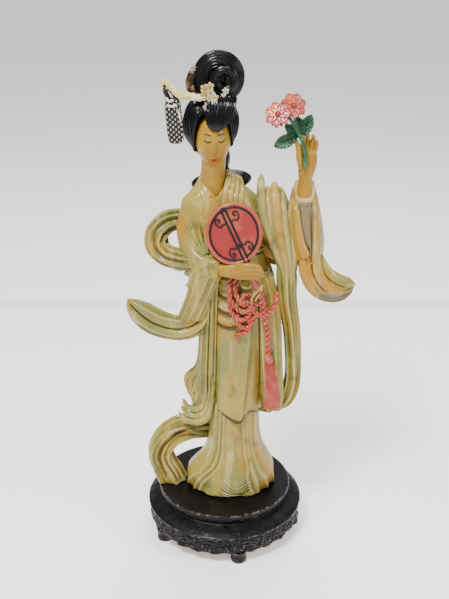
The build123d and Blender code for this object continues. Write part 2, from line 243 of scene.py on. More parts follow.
def remeshed(piece, voxel, smoothing=4, cavity=8):
    """The piece as one fused skin, softened where its parts meet."""
    bpy.context.view_layer.objects.active = piece
    for o in bpy.context.selected_objects:
        o.select_set(False)
    piece.select_set(True)
    fuse = piece.modifiers.new("fuse", "REMESH")
    fuse.mode = "VOXEL"
    fuse.voxel_size = voxel * MM
    soften = piece.modifiers.new("soften", "SMOOTH")
    soften.factor = 0.5
    soften.iterations = smoothing
    for name in ("fuse", "soften"):
        bpy.ops.object.modifier_apply(modifier=name)
    piece.data.polygons.foreach_set("use_smooth", [True] * len(piece.data.polygons))
    if cavity:
        paint_cavity(piece.data, cavity)
    return piece


def stain(piece, name, values):
    """Stores a painted value for each of the piece's first points, for its material."""
    layer = piece.data.attributes.new(name, "FLOAT", "POINT")
    whole = np.zeros(len(piece.data.vertices), np.float32)
    whole[: values.size] = np.ravel(values)
    layer.data.foreach_set("value", whole)


def reshaped(piece, change):
    """Moves the piece's points: change takes x, y, z in millimetres and gives the new three."""
    count = len(piece.data.vertices)
    places = np.empty(count * 3)
    piece.data.vertices.foreach_get("co", places)
    moved = np.stack(change(*(places.reshape(-1, 3) / MM).T), axis=-1)
    piece.data.vertices.foreach_set("co", (moved * MM).ravel())
    piece.data.update()
    return moved


def place(piece, slot, *nodes):
    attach(piece, "root")
    if nodes:
        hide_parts(*nodes)
    return piece


# ======================================================================================
# Materials
# ======================================================================================
class Nodes:
    """A short way to write a material's node tree."""

    def __init__(self, name):
        self.material = bpy.data.materials.new(name)
        self.material.use_nodes = True
        self.tree = self.material.node_tree
        self.shader = self.tree.nodes["Principled BSDF"]
        self.place = self.add("ShaderNodeTexCoord").outputs["Object"]

    def add(self, kind, **values):
        node = self.tree.nodes.new(kind)
        for key, value in values.items():
            setattr(node, key, value)
        return node

    def link(self, out, into):
        self.tree.links.new(out, into)

    def scaled(self, size):
        """The piece's own coordinates, scaled per axis."""
        mapping = self.add("ShaderNodeMapping")
        mapping.inputs["Scale"].default_value = size
        self.link(self.place, mapping.inputs["Vector"])
        return mapping.outputs["Vector"]

    def noise(self, scale, detail=4, stretch=None, distortion=0.0, roughness=0.55):
        node = self.add("ShaderNodeTexNoise")
        node.inputs["Scale"].default_value = scale
        node.inputs["Detail"].default_value = detail
        node.inputs["Distortion"].default_value = distortion
        node.inputs["Roughness"].default_value = roughness
        vector = self.scaled(stretch) if stretch else self.place
        self.link(vector, node.inputs["Vector"])
        return node.outputs["Fac"]

    def ramp(self, value, *stops):
        node = self.add("ShaderNodeValToRGB")
        elements = node.color_ramp.elements
        while len(elements) < len(stops):
            elements.new(0.5)
        for element, (position, colour) in zip(elements, stops):
            element.position = position
            element.color = (*colour, 1) if len(colour) == 3 else colour
        self.link(value, node.inputs["Fac"])
        return node.outputs["Color"]

    def between(self, value, low, high, to_low=0.0, to_high=1.0):
        node = self.add("ShaderNodeMapRange", interpolation_type="SMOOTHSTEP")
        for key, number in (("From Min", low), ("From Max", high), ("To Min", to_low), ("To Max", to_high)):
            node.inputs[key].default_value = number
        self.link(value, node.inputs["Value"])
        return node.outputs["Result"]

    def mix(self, factor, a, b, blend="MIX"):
        node = self.add("ShaderNodeMix", data_type="RGBA", blend_type=blend)
        for value, socket in ((factor, node.inputs[0]), (a, node.inputs[6]), (b, node.inputs[7])):
            if isinstance(value, (int, float)):
                socket.default_value = value
            elif isinstance(value, tuple):
                socket.default_value = (*value, 1)
            else:
                self.link(value, socket)
        return node.outputs[2]

    def maths(self, operation, a, b=0.0):
        node = self.add("ShaderNodeMath", operation=operation)
        for value, socket in ((a, node.inputs[0]), (b, node.inputs[1])):
            if isinstance(value, (int, float)):
                socket.default_value = value
            else:
                self.link(value, socket)
        return node.outputs[0]

    def attribute(self, name):
        node = self.add("ShaderNodeAttribute", attribute_type="GEOMETRY", attribute_name=name)
        return node.outputs["Fac"]

    def finish(
        self, colour, roughness=0.35, bump=None, bump_height=0.0001, coat=0.0, coat_rough=0.1, **sockets
    ):
        self.link(colour, self.shader.inputs["Base Color"])
        if isinstance(roughness, (int, float)):
            self.shader.inputs["Roughness"].default_value = roughness
        else:
            self.link(roughness, self.shader.inputs["Roughness"])
        self.shader.inputs["Coat Weight"].default_value = coat
        self.shader.inputs["Coat Roughness"].default_value = coat_rough
        for key, value in sockets.items():
            self.shader.inputs[key.replace("_", " ")].default_value = value
        if bump is not None:
            node = self.add("ShaderNodeBump")
            node.inputs["Strength"].default_value = 1.0
            node.inputs["Distance"].default_value = bump_height
            self.link(bump, node.inputs["Height"])
            self.link(node.outputs["Normal"], self.shader.inputs["Normal"])
        return self.material


def resin(name, cream, jade, ochre, hollow, ochre_share=0.5, jade_share=0.5, streak=0.5):
    """Cast resin that imitates carved soapstone: cloudy colour, painted shade in the hollows, painted
    highlight on the crests, gloss.
    """
    n = Nodes(name)
    clouds = n.noise(42, 4, stretch=(1, 1, 0.4), distortion=0.8)
    warm = n.noise(30, 4, stretch=(1, 1, 0.5), distortion=0.5)
    fine = n.noise(150, 4, stretch=(1, 1, 0.10), distortion=0.3)
    broad = n.noise(75, 3, stretch=(1, 1, 0.12), distortion=0.3)
    colour = n.mix(n.between(clouds, 0.60 - 0.3 * jade_share, 0.68 - 0.2 * jade_share), cream, jade)
    tint = n.between(warm, 0.62 - 0.28 * ochre_share, 0.74 - 0.2 * ochre_share, 0.0, 0.9)
    colour = n.mix(tint, colour, ochre)
    colour = n.mix(n.between(broad, 0.50, 0.62, 0.0, streak), colour, ochre)
    colour = n.mix(n.between(fine, 0.54, 0.70, 0.0, 0.6), colour, (0.44, 0.39, 0.17))
    colour = n.mix(n.attribute("shade"), colour, SHADE)
    depth = n.attribute("cavity")
    # Painted shade: the hollows turn dark olive, as far as the cavity attribute says they are hollow.
    colour = n.mix(n.between(depth, 0.00, 0.26, 0.0, 0.92), colour, hollow)
    # Painted highlight: the crests turn a pale yellow.
    colour = n.mix(n.between(depth, -0.08, -0.40, 0.0, 0.45), colour, (0.50, 0.44, 0.22))
    specks = n.noise(420, 5)
    colour = n.mix(n.between(specks, 0.64, 0.74, 0.0, 0.7), colour, hollow)
    grime = n.noise(95, 5)
    colour = n.mix(n.between(grime, 0.52, 0.74, 0.0, 0.45), colour, hollow)
    rough = n.between(n.noise(120, 4), 0.3, 0.7, 0.22, 0.42)
    return n.finish(
        colour, rough, bump=n.noise(
            420,
            4,
        ), bump_height=0.00016, coat=0.2, coat_rough=0.12, Specular_IOR_Level=0.2
    )


def painted(name, colour, second, rough=0.35, share=0.5, coat=0.3, scale=160, hollow=None):
    """Brushed paint: two close tones, rubbed, with a little brush texture."""
    n = Nodes(name)
    tone = n.mix(n.between(n.noise(scale, 4), 0.62 - 0.25 * share, 0.75 - 0.15 * share), colour, second)
    # Painted shade: when a hollow colour is given, the paint turns to it in the hollows.
    if hollow:
        tone = n.mix(n.between(n.attribute("cavity"), 0.02, 0.20, 0.0, 0.9), tone, hollow)
    roughness = n.between(n.noise(300, 3), 0.3, 0.7, rough - 0.08, rough + 0.1)
    return n.finish(
        tone, roughness, bump=n.noise(
            700,
            3,
        ), bump_height=0.00006, coat=coat, coat_rough=0.15, Specular_IOR_Level=0.3
    )


def lacquer():
    """Black lacquer on the stand, lighter in patches along the crests."""
    n = Nodes("stand_lacquer")
    depth = n.attribute("cavity")
    colour = n.mix(
        n.between(n.noise(90, 5), 0.45, 0.8, 0.0, 0.6),
        (0.003, 0.0026, 0.0026),
        (0.010, 0.008, 0.007),
    )
    # Lighter grey patches on the crests, where the noise is high.
    pale_crest_patches = n.maths("MULTIPLY", n.between(depth, -0.05, -0.22), n.between(n.noise(420, 5), 0.46, 0.62))
    colour = n.mix(n.maths("MULTIPLY", pale_crest_patches, 0.6), colour, (0.22, 0.20, 0.18))
    rough = n.between(n.noise(150, 4), 0.3, 0.7, 0.30, 0.55)
    return n.finish(
        colour,
        rough,
        bump=n.noise(500, 5),
        bump_height=0.00018,
        coat=0.05,
        coat_rough=0.25,
        Specular_IOR_Level=0.18,
    )


def hair_paint():
    n = Nodes("hair_black")
    colour = n.mix(
        n.between(n.noise(60, 3), 0.5, 0.8, 0.0, 0.5),
        (0.002, 0.002, 0.003),
        (0.008, 0.006, 0.005),
    )
    return n.finish(
        colour, 0.24, bump=n.noise(
            600,
            2,
        ), bump_height=0.00005, coat=0.2, coat_rough=0.08, Specular_IOR_Level=0.15
    )


def skin_paint():
    """Yellow ochre skin, with drawn lashes and brows and red lips."""
    n = Nodes("skin_paint")
    tone = n.mix(n.between(n.noise(60, 3), 0.35, 0.7), (0.25, 0.125, 0.006), (0.33, 0.195, 0.018))
    # Painted shade: the skin turns a deeper ochre in its hollows.
    tone = n.mix(n.between(n.attribute("cavity"), 0.01, 0.16, 0.0, 0.8), tone, (0.26, 0.085, 0.008))
    tone = n.mix(n.attribute("lips"), tone, (0.30, 0.008, 0.010))
    tone = n.mix(n.attribute("ink"), tone, (0.005, 0.003, 0.003))
    return n.finish(
        tone, 0.36, bump=n.noise(
            500,
            3,
        ), bump_height=0.00003, coat=0.15, coat_rough=0.15, Specular_IOR_Level=0.2
    )


def petal_paint():
    """Pink petals, a few brushed orange."""
    n = Nodes("petal_paint")
    tone = n.mix(n.between(n.noise(160, 4), 0.4, 0.7), (0.40, 0.060, 0.046), (0.50, 0.11, 0.080))
    tone = n.mix(n.maths("MULTIPLY", n.attribute("orange"), 0.85), tone, (0.66, 0.13, 0.012))
    # Painted shade: the petals turn dark red in their hollows.
    tone = n.mix(n.between(n.attribute("cavity"), 0.005, 0.10, 0.0, 0.9), tone, (0.20, 0.012, 0.016))
    return n.finish(tone, 0.36, bump=n.noise(600, 3), bump_height=0.00005, coat=0.3, coat_rough=0.15)


CREAM = (0.315, 0.247, 0.046)
JADE = (0.185, 0.182, 0.044)
OCHRE = (0.36, 0.165, 0.009)
# OLIVE is the painted shade in the resin's hollows, and also the colour of its specks and grime.
OLIVE = (0.030, 0.019, 0.002)
SHADE = (0.16, 0.125, 0.070)  # cloth that lies in the shade, inside a sleeve
robe_material = resin("robe_resin", CREAM, JADE, OCHRE, OLIVE, 0.35, 0.5, 0.35)
stole_material = resin(
    "stole_resin",
    (0.285, 0.240, 0.052),
    (0.165, 0.155, 0.030),
    (0.35, 0.20, 0.014),
    OLIVE,
    0.35,
    0.6,
    0.6,
)
ochre_material = resin(
    "sleeve_resin",
    (0.29, 0.215, 0.046),
    (0.19, 0.17, 0.05),
    (0.37, 0.175, 0.009),
    OLIVE,
    0.8,
    0.3,
    0.8,
)
skin_material = skin_paint()
hair_material = hair_paint()
brown_hair_material = painted(
    "hair_brown",
    (0.012, 0.006, 0.004),
    (0.24, 0.10, 0.02),
    0.25,
    0.5,
    coat=0.5,
    scale=240,
)
stand_material = lacquer()
cord_material = painted(
    "cord_paint",
    (0.36, 0.040, 0.026),
    (0.42, 0.11, 0.05),
    0.4,
    0.5,
    hollow=(0.16, 0.015, 0.010),
)
fan_material = painted("fan_paint", (0.25, 0.024, 0.022), (0.33, 0.070, 0.036), 0.32, 0.5, coat=0.3, scale=60)
rim_material = painted("fan_rim_paint", (0.33, 0.048, 0.026), (0.36, 0.080, 0.040), 0.35, 0.5)
ink_material = painted("ink", (0.004, 0.003, 0.005), (0.006, 0.005, 0.006), 0.55, 0.5, coat=0.0)
petal_material = petal_paint()
leaf_material = painted(
    "leaf_paint",
    (0.004, 0.060, 0.018),
    (0.010, 0.13, 0.04),
    0.3,
    0.5,
    coat=0.4,
    hollow=(0.001, 0.012, 0.004),
)
pin_material = painted(
    "pin_paint",
    (0.52, 0.44, 0.15),
    (0.62, 0.56, 0.32),
    0.35,
    0.5,
    hollow=(0.12, 0.09, 0.02),
)
silver_material = painted(
    "blossom_paint",
    (0.52, 0.50, 0.36),
    (0.68, 0.68, 0.66),
    0.35,
    0.5,
    hollow=(0.05, 0.05, 0.05),
)


# ======================================================================================
# Stage
# ======================================================================================
def make_camera():
    camera = bpy.data.objects.new("camera", bpy.data.cameras.new("camera"))
    bpy.context.collection.objects.link(camera)
    camera.location = (0, -EYE_DISTANCE, EYE_HEIGHT)
    camera.rotation_euler = (math.radians(90 - TILT_DOWN), 0, 0)
    camera.data.lens = LENS
    camera.data.sensor_width = 36
    bpy.context.scene.camera = camera


def make_light(name, spot, size, power, aim=(0, 0, 0.15), colour=(1, 1, 1)):
    light = bpy.data.lights.new(name, "AREA")
    light.shape = "DISK"
    light.size = size
    light.energy = power
    light.color = colour
    lamp = bpy.data.objects.new(name, light)
    bpy.context.collection.objects.link(lamp)
    lamp.location = spot
    gaze = np.array(aim) - np.array(spot)
    lamp.rotation_euler = (
        math.atan2(math.hypot(gaze[0], gaze[1]), -gaze[2]),
        0,
        math.atan2(gaze[1], gaze[0]) - math.pi / 2,
    )


def make_stage():
    """A white paper floor that turns a little greyer behind a soft crease, with a band of painted shade along
    the crease.
    """
    n = Nodes("floor_paper")
    split = n.add("ShaderNodeSeparateXYZ")
    n.link(n.place, split.inputs[0])
    far = n.between(split.outputs["Y"], 0.345, 0.365)
    paper = n.mix(n.between(n.noise(2, 3), 0.3, 0.7), (0.93, 0.905, 0.88), (0.95, 0.93, 0.91))
    glow = n.mix(far, (1.0, 0.885, 0.82), (0.93, 0.875, 0.80))
    # Painted shade: a grey band along the crease.
    crease = n.maths("MULTIPLY", far, n.between(split.outputs["Y"], 0.385, 0.355))
    paper = n.mix(n.maths("MULTIPLY", crease, 0.5), paper, (0.45, 0.43, 0.40))
    material = n.finish(paper, 0.6, Emission_Strength=0.52)
    n.link(glow, n.shader.inputs["Emission Color"])
    size = 40000.0
    points = [(-size, -size, 0), (size, -size, 0), (size, size, 0), (-size, size, 0)]
    floor = mesh_piece("floor", points, [(0, 1, 2, 3)], material, cavity=0)
    world = bpy.data.worlds.new("studio")
    world.use_nodes = True
    world.node_tree.nodes["Background"].inputs["Color"].default_value = (0.95, 0.96, 1.0, 1)
    world.node_tree.nodes["Background"].inputs["Strength"].default_value = 0.55
    bpy.context.scene.world = world
    make_light("key", (-0.30, -0.50, 1.05), 0.30, 20.0)
    make_light("fill", (0.75, -0.35, 0.60), 0.4, 4.0)
    make_light("top", (0.1, 0.40, 1.1), 0.5, 9.0)


make_camera()
make_stage()


# ======================================================================================
# Stand
# ======================================================================================
DISC_TOP = 31.0
DISC_RADIUS = 41.8
TIER_RADIUS = 49.2
TIER_EDGE = 20.0
BAND_TOP = 18.4
BAND_BOTTOM = 7.0
FOOT_COUNT = 5
FOOT_ORBIT = 43.5  # from the stand's axis to the middle of each foot
FIRST_FOOT = -78.5


def lathe(name, profile, relief, material, around=360, cavity=6, count=None):
    """A skin turned round Z through (radius, height) points; relief(angle, height) lifts it outward."""
    profile = np.array(profile, float)
    lengths = np.concatenate([[0], np.cumsum(np.linalg.norm(np.diff(profile, axis=0), axis=1))])
    s = np.linspace(0, lengths[-1], count or len(profile) * 6)
    s = np.unique(np.concatenate([s, lengths]))
    radius, height = np.interp(s, lengths, profile[:, 0]), np.interp(s, lengths, profile[:, 1])
    angle = np.linspace(0, 2 * np.pi, around, endpoint=False)
    a, z = np.meshgrid(angle, height)
    r = radius[:, None] + relief(np.degrees(a), z, radius[:, None]) if relief else radius[:, None] + 0 * a
    points = np.stack([r * np.cos(a), r * np.sin(a), z], axis=-1)
    flat, faces = close_ends(points)
    return mesh_piece(name, flat, faces, material, cavity=cavity)


def wobble(a, z, seed=0.0):
    """Small hand-cut unevenness."""
    return (
        np.sin(np.radians(a * 7 + seed * 50) + z * 0.9)
        + np.sin(np.radians(a * 13 - seed * 80) + z * 1.7)
        + np.sin(np.radians(a * 29 + seed * 30) - z * 2.3)
    ) / 3


def carved_scrolls(a, z, radius):
    """Uneven pressed scrolls and leaves round the lower band, with beads above and lobes below."""
    high = (z - BAND_BOTTOM) / (BAND_TOP - BAND_BOTTOM)
    drift = 3.0 * np.sin(np.radians(5 * a)) + 1.6 * np.sin(np.radians(17 * a))
    turn = ((a + drift) / 360 * 26) % 1.0 - 0.5
    x, y = turn * 11.8, (high - 0.52) * 11.0 + 1.2 * np.sin(np.radians(13 * a))
    away = np.hypot(x, y)
    spin = np.arctan2(y, x * np.where((a // 13.85) % 2 > 0, 1, -1))
    scroll = np.cos(away * 2.5 - spin * 2) * np.exp(-((away / 4.6) ** 4))
    leaves = np.cos(np.radians(a * 47) + 1.4 * y) * np.cos(y * 1.9 + 2 * np.sin(np.radians(a * 21)))
    beads = np.cos(np.radians(a * 60)) * np.exp(-(((high - 0.93) / 0.05) ** 2))
    lower = np.cos(np.radians(a * 26)) * np.exp(-(((high - 0.04) / 0.10) ** 2))
    return 0.5 * scroll + 0.35 * leaves + 0.4 * beads + 0.8 * lower + 0.2 * wobble(a, z, 2)


def carved_slope(a, z, radius):
    """Shallow petals on the slope between the two tiers."""
    petals = np.abs(np.cos(np.radians(a * 14)))
    inside = window(radius + 0 * a, 41.0, 47.0, 1.2)
    return inside * (0.55 * petals**0.6 - 0.35 + 0.35 * wobble(a * 3, z, 1))


def make_stand():
    disc = (
        (0.1, 25.2),
        (38.5, 25.2),
        (40.6, 25.8),
        (41.6, 27.2),
        (DISC_RADIUS, 28.6),
        (DISC_RADIUS, 30.1),
        (DISC_RADIUS - 0.35, 30.75),
        (DISC_RADIUS - 1.1, DISC_TOP),
        (0.1, DISC_TOP),
    )

    def rough(a, z, radius):
        return 0.10 * wobble(a, z, 3) * (radius > 38)

    place(lathe("disc", disc, rough, stand_material, count=90), "stand", "stand_top_disc")
    tier = (
        (0.1, BAND_BOTTOM + 0.1),
        (44.0, BAND_BOTTOM + 0.1),
        (44.6, BAND_TOP),
        (TIER_RADIUS - 0.7, BAND_TOP),
        (TIER_RADIUS, 19.1),
        (TIER_RADIUS, 19.7),
        (TIER_RADIUS - 0.7, TIER_EDGE + 0.3),
        (46.0, 21.6),
        (43.0, 22.6),
        (40.5, 23.6),
        (38.6, 25.1),
        (0.1, 25.1),
    )
    place(
        lathe("tier", tier, carved_slope, stand_material, count=150, around=540),
        "stand",
        "stand_lower_tier",
    )
    band = (
        (44.8, BAND_BOTTOM + 0.2),
        (47.0, BAND_BOTTOM + 0.2),
        (47.6, BAND_BOTTOM + 1.2),
        (48.0, 12.5),
        (48.0, BAND_TOP - 0.3),
        (44.8, BAND_TOP - 0.2),
    )
    place(
        lathe("carved_band", band, carved_scrolls, stand_material, count=60, around=900),
        "stand",
        "stand_carved_band",
    )
    foot = ((0.1, 0.0), (4.2, 0.0), (4.9, 0.8), (5.0, 2.4), (4.7, 4.6), (5.2, 7.4), (0.1, 7.4))
    parts = []
    for i in range(FOOT_COUNT):
        angle = math.radians(FIRST_FOOT + 360 / FOOT_COUNT * i)
        radius, height = np.array(foot).T
        ring = np.linspace(0, 2 * np.pi, 40, endpoint=False)
        corners = np.linspace(0, 1, len(foot))
        levels = np.linspace(0, 1, 30)
        r = np.interp(levels, corners, radius)
        z = np.interp(levels, corners, height)
        points = np.stack(
            [
                FOOT_ORBIT * math.cos(angle) + r[:, None] * np.cos(ring),
                FOOT_ORBIT * math.sin(angle) + r[:, None] * np.sin(ring),
                z[:, None] + 0 * ring,
            ],
            axis=-1,
        )
        parts.append(close_ends(points))
    place(joined("feet", parts, stand_material, cavity=4), "stand", "stand_feet")


# ======================================================================================
# Robe
# ======================================================================================
UNDER_SKIRT = (
    (3.8, -2.0, DISC_TOP + 0.1, 24.6, 19.4),
    (3.6, -2.0, 33.0, 26.2, 20.6),
    (3.6, -2.2, 37.0, 27.4, 20.8),
    (4.2, -2.6, 42.5, 27.2, 20.0),
    (5.6, -2.8, 47.5, 24.8, 18.4),
    (6.6, -3.0, 53.0, 21.2, 16.4),
    (6.5, -3.0, 60.0, 17.8, 14.6),
    (6.2, -3.0, 70.0, 16.0, 13.4),
    (6.1, -3.0, 82.0, 15.4, 13.0),
    (6.5, -3.0, 94.0, 15.4, 13.0),
)
ROBE = (
    (8.5, -3.0, 90.0, 17.0, 14.5),
    (9.0, -3.0, 112.0, 18.0, 15.0),
    (9.5, -3.0, 132.0, 19.0, 15.5),
    (10.0, -3.0, 152.0, 19.5, 15.5),
    (9.5, -3.0, 168.0, 19.3, 14.5),
    (8.0, -3.0, 178.0, 18.5, 13.0),
    (6.6, -3.0, 184.0, 17.2, 12.2),
    (4.5, -3.0, 192.0, 18.6, 12.8),
    (1.6, -2.8, 201.0, 21.8, 13.4),
    (-0.8, -2.2, 210.0, 23.8, 12.8),
    (-2.0, -2.0, 217.0, 22.4, 11.2),
    (-2.0, -1.6, 222.0, 18.0, 10.0),
    (-3.0, -1.0, 226.0, 13.6, 8.8),
    (-4.4, 0.0, 230.0, 10.0, 7.4),
    (-5.2, 1.0, 233.0, 7.6, 5.6),
)


def oval_at(z):
    """The robe's level oval at a height: centre x, centre y, half width, half depth."""
    table = np.array(ROBE)
    return [np.interp(z, table[:, 2], table[:, k]) for k in (0, 1, 3, 4)]


def front_y(x, z):
    """Where the robe's front face is."""
    cx, cy, wide, deep = oval_at(z)
    inside = np.clip(1 - ((x - cx) / wide) ** 2, 0.02, 1)
    return cy - deep * np.sqrt(inside)


def skirt_folds(u, a):
    low = 1 - step(u, 0.0, 0.24)
    lift = low * (0.8 * np.cos(np.radians(7 * a + 30)) + 0.5 * np.cos(np.radians(13 * a + 80)))
    lines = (
        (((0.0, -150), (0.5, -126), (1.0, -121)), 4, 1.2),
        (((0.10, -136), (0.5, -116), (1.0, -113)), 4, 1.0),
        (((0.0, -172), (0.4, -142), (1.0, -134)), 7, 1.5),
        (((0.05, -48), (0.5, -63), (1.0, -65)), 5, 1.4),
        (((0.12, -60), (0.4, -70), (1.0, -71)), 3, 0.9),
        (((0.0, -24), (0.5, -53), (1.0, -58)), 6, 1.5),
        (((0.0, -2), (0.5, -36), (1.0, -46)), 8, 1.4),
        (((0.03, -66), (0.10, -84), (0.20, -106)), 3, 0.7),
        (((0.03, -76), (0.08, -92), (0.17, -108)), 3, 0.7),
        (((0.03, -88), (0.07, -100), (0.14, -110)), 3, 0.6),
    )
    for line, width, height in lines:
        lift = lift + ridge(u, a, line, width, height)
    for k, u_low in enumerate((0.17, 0.205, 0.24)):
        lift = lift + swag(u, a, -82, 20, u_low, 0.10 + 0.03 * k, 0.010, 0.6)
    toe = np.exp(-((turned(a, -122) / 17) ** 2) - ((u - 0.10) / 0.075) ** 2)
    heel = np.exp(-((turned(a, -62) / 10) ** 2) - ((u - 0.08) / 0.07) ** 2)
    back = window(turned(a, 90), -80, 80, 15)
    return lift + 1.8 * toe + 1.2 * heel + back * pleats(u, a, 15, 0.8, drift=0.02) * (0.4 + low)


def robe_folds(u, a):
    """Vertical pleats at the back and sides of the robe, and creases drawn in to the waist."""
    lower = 1 - step(u, 0.42, 0.55)
    upper = step(u, 0.52, 0.60)
    back = window(turned(a, 90), -95, 95, 12)
    lift = back * lower * pleats(u, a, 19, 0.9, drift=0.02)
    lift = lift + back * upper * 0.5 * pleats(u, a, 9, 0.8, drift=-0.1)
    sash = window(u, 0.455, 0.515, 0.012)
    return lift - 0.6 * sash + 0.4 * sash * np.cos(u * 260)


NECK_V = (-4.6, 221.6)  # x and height of the point of the neck opening
NECK_SPREAD = 0.72  # half width of the opening for each millimetre above its point


def cut_neck(gown):
    """Sinks the front of the robe inside the V of the neck."""
    for v in gown.data.vertices:
        x, y, z = v.co.x / MM, v.co.y / MM, v.co.z / MM
        above = z - NECK_V[1]
        if above > 0 and y < 2:
            reach = abs(x - NECK_V[0]) / (NECK_SPREAD * above + 0.3)
            v.co.y += 11.0 * MM * float(1 - step(reach, 0.86, 1.08))
    gown.data.update()


def make_robe_body():
    skirt = loft("skirt", UNDER_SKIRT, robe_material, skirt_folds, level=True, rings=150, around=300)
    place(skirt, "robe", "under_skirt")
    gown = loft("gown", ROBE, robe_material, robe_folds, level=True, rings=220, around=260)
    cut_neck(gown)
    place(gown, "robe", "robe_skirt", "waist_sash", "robe_bodice")


def panel(name, z_top, hem, left, right, material, lift=2.0, folds=None, rings=120, across=80, cavity=10):
    """A cloth panel that lies on the robe's front.

    hem(s) is the height of its lower edge across it; left(t) and right(t) are its side edges in x,
    with s from 0 to 1 across it and t from 0 to 1 down it. folds(s, t) lifts it."""
    s, t = np.meshgrid(np.linspace(0, 1, across), np.linspace(0, 1, rings))
    x = left(t) * (1 - s) + right(t) * s
    z = z_top + (hem(s) - z_top) * t
    rise = lift * (1 - np.abs(2 * s - 1) ** 8) + (folds(s, t) if folds else 0)
    rise = rise * np.sqrt(np.clip((1.0 - t) / 0.022, 0.02, 1))
    outer = np.stack([x, front_y(x, z) - rise, z], axis=-1)
    inner = np.stack([x, front_y(x, z) + 2.0, z], axis=-1)
    points = np.vstack([outer.reshape(-1, 3), inner.reshape(-1, 3)])
    n = rings * across
    faces = []
    for i in range(rings - 1):
        for j in range(across - 1):
            k = i * across + j
            faces.append((k, k + 1, k + 1 + across, k + across))
            faces.append((n + k, n + k + across, n + k + 1 + across, n + k + 1))
    edge = [i * across for i in range(rings)]
    edge += [(rings - 1) * across + j for j in range(1, across)]
    edge += [i * across + across - 1 for i in range(rings - 2, -1, -1)]
    edge += [j for j in range(across - 2, 0, -1)]
    for m in range(len(edge)):
        a, b = edge[m], edge[(m + 1) % len(edge)]
        faces.append((a, b, n + b, n + a))
    return mesh_piece(name, points, faces, material, cavity=cavity)


def line(*points):
    """A smooth edge: value against a 0 to 1 place, through given points."""
    places, values = np.array(points, float).T
    fine = smooth(np.column_stack([places, values]), 200)
    return lambda t: np.interp(t, fine[:, 0], fine[:, 1])


def apron_folds(s, t):
    """Soft swags under the cord at the upper left, and a long crest down the right side."""
    lift = 0.9 * np.exp(-(((s - (0.93 - 0.28 * t)) / 0.045) ** 2)) * window(t, 0.12, 0.98, 0.03)
    lift = lift - 0.3 * np.exp(-(((s - (0.83 - 0.28 * t)) / 0.05) ** 2)) * window(t, 0.12, 0.96, 0.03)
    for k in range(3):
        low = 0.14 + 0.095 * k
        curve = low - (0.62 - 0.06 * k) * (s - 0.36 + 0.03 * k) ** 2
        reach = window(s, 0.0, 0.66 - 0.05 * k, 0.07)
        lift = lift + 1.7 * np.exp(-np.abs((t - curve) / 0.026) ** 1.8) * reach
        lift = lift - 0.8 * np.exp(-np.abs((t - curve + 0.05) / 0.020) ** 2) * reach
    lift = lift + 0.35 * np.cos(s * 9 + 1) * step(t, 0.5, 1.0)
    return lift


def make_panels():
    apron = panel(
        "apron",
        177.0,
        line((0, 88.5), (0.25, 85.0), (0.5, 81.6), (0.62, 82.4), (0.78, 88.4), (1, 87.0)),
        line((0, -7.5), (0.4, -8.6), (0.8, -7.4), (1, -6.0)),
        line((0, 17.5), (0.3, 20.5), (0.7, 21.5), (1, 20.5)),
        robe_material,
        folds=apron_folds,
    )
    place(apron, "robe", "apron_panel")

    def side_folds(u, a):
        lift = ridge(u, a, ((0.0, -118), (0.6, -116), (1.0, -110)), 9, 1.0)
        lift = lift + ridge(u, a, ((0.0, -60), (0.5, -64), (1.0, -70)), 10, 0.8)
        return lift + ridge(u, a, ((0.1, -20), (0.6, -30), (1.0, -36)), 10, 0.8)

    side = (
        (28.8, -9.5, 87.6, 3.0, 3.4),
        (28.8, -9.5, 90.0, 5.2, 5.8),
        (28.4, -9.5, 100.0, 6.8, 7.0),
        (26.6, -9.0, 125.0, 7.6, 8.8),
        (25.0, -8.0, 150.0, 8.0, 10.0),
        (22.6, -6.5, 170.0, 7.0, 9.0),
        (20.0, -5.5, 178.0, 5.0, 8.0),
    )
    piece = loft("tassel_panel", side, robe_material, side_folds, level=True, rings=120, around=120)
    place(piece, "robe", "side_panel")

    def pleat_folds(u, a):
        waves = 0.55 * np.cos(np.radians(12 * a) + 4 * u + 0.8 * np.sin(7 * u))
        waves = waves + 0.35 * np.cos(np.radians(21 * a) - 5 * u) + 0.25 * np.cos(np.radians(5 * a) + 9 * u)
        return window(a, -178, -20, 12) * waves

    pleated = (
        (-10.4, -7.0, 84.0, 3.0, 3.0),
        (-10.4, -8.4, 92.0, 4.8, 5.0),
        (-10.4, -9.8, 104.0, 5.6, 6.0),
        (-10.2, -11.0, 120.0, 5.8, 6.4),
        (-9.0, -12.5, 150.0, 5.2, 6.0),
        (-7.6, -14.0, 174.0, 4.6, 5.4),
        (-7.0, -14.0, 181.0, 4.0, 5.0),
    )
    piece = loft("front_pleats", pleated, stole_material, pleat_folds, level=True, rings=120, around=160)
    place(piece, "robe_lining", "pleated_panel")


def chest(x, z, out=0.6):
    """A point just in front of the robe's chest."""
    return (x, front_y(x, z) - out, z)


def flat_band(route, half, thick):
    """A flat fold of cloth with a rounded edge, laid along a route."""
    rows = [(*point, half * share, thick) for point, share in zip(route, np.linspace(0.9, 1.0, len(route)))]
    return close_ends(loft_points(rows, across=(1, 0, 0.1), rings=90, around=40, power=0.7))


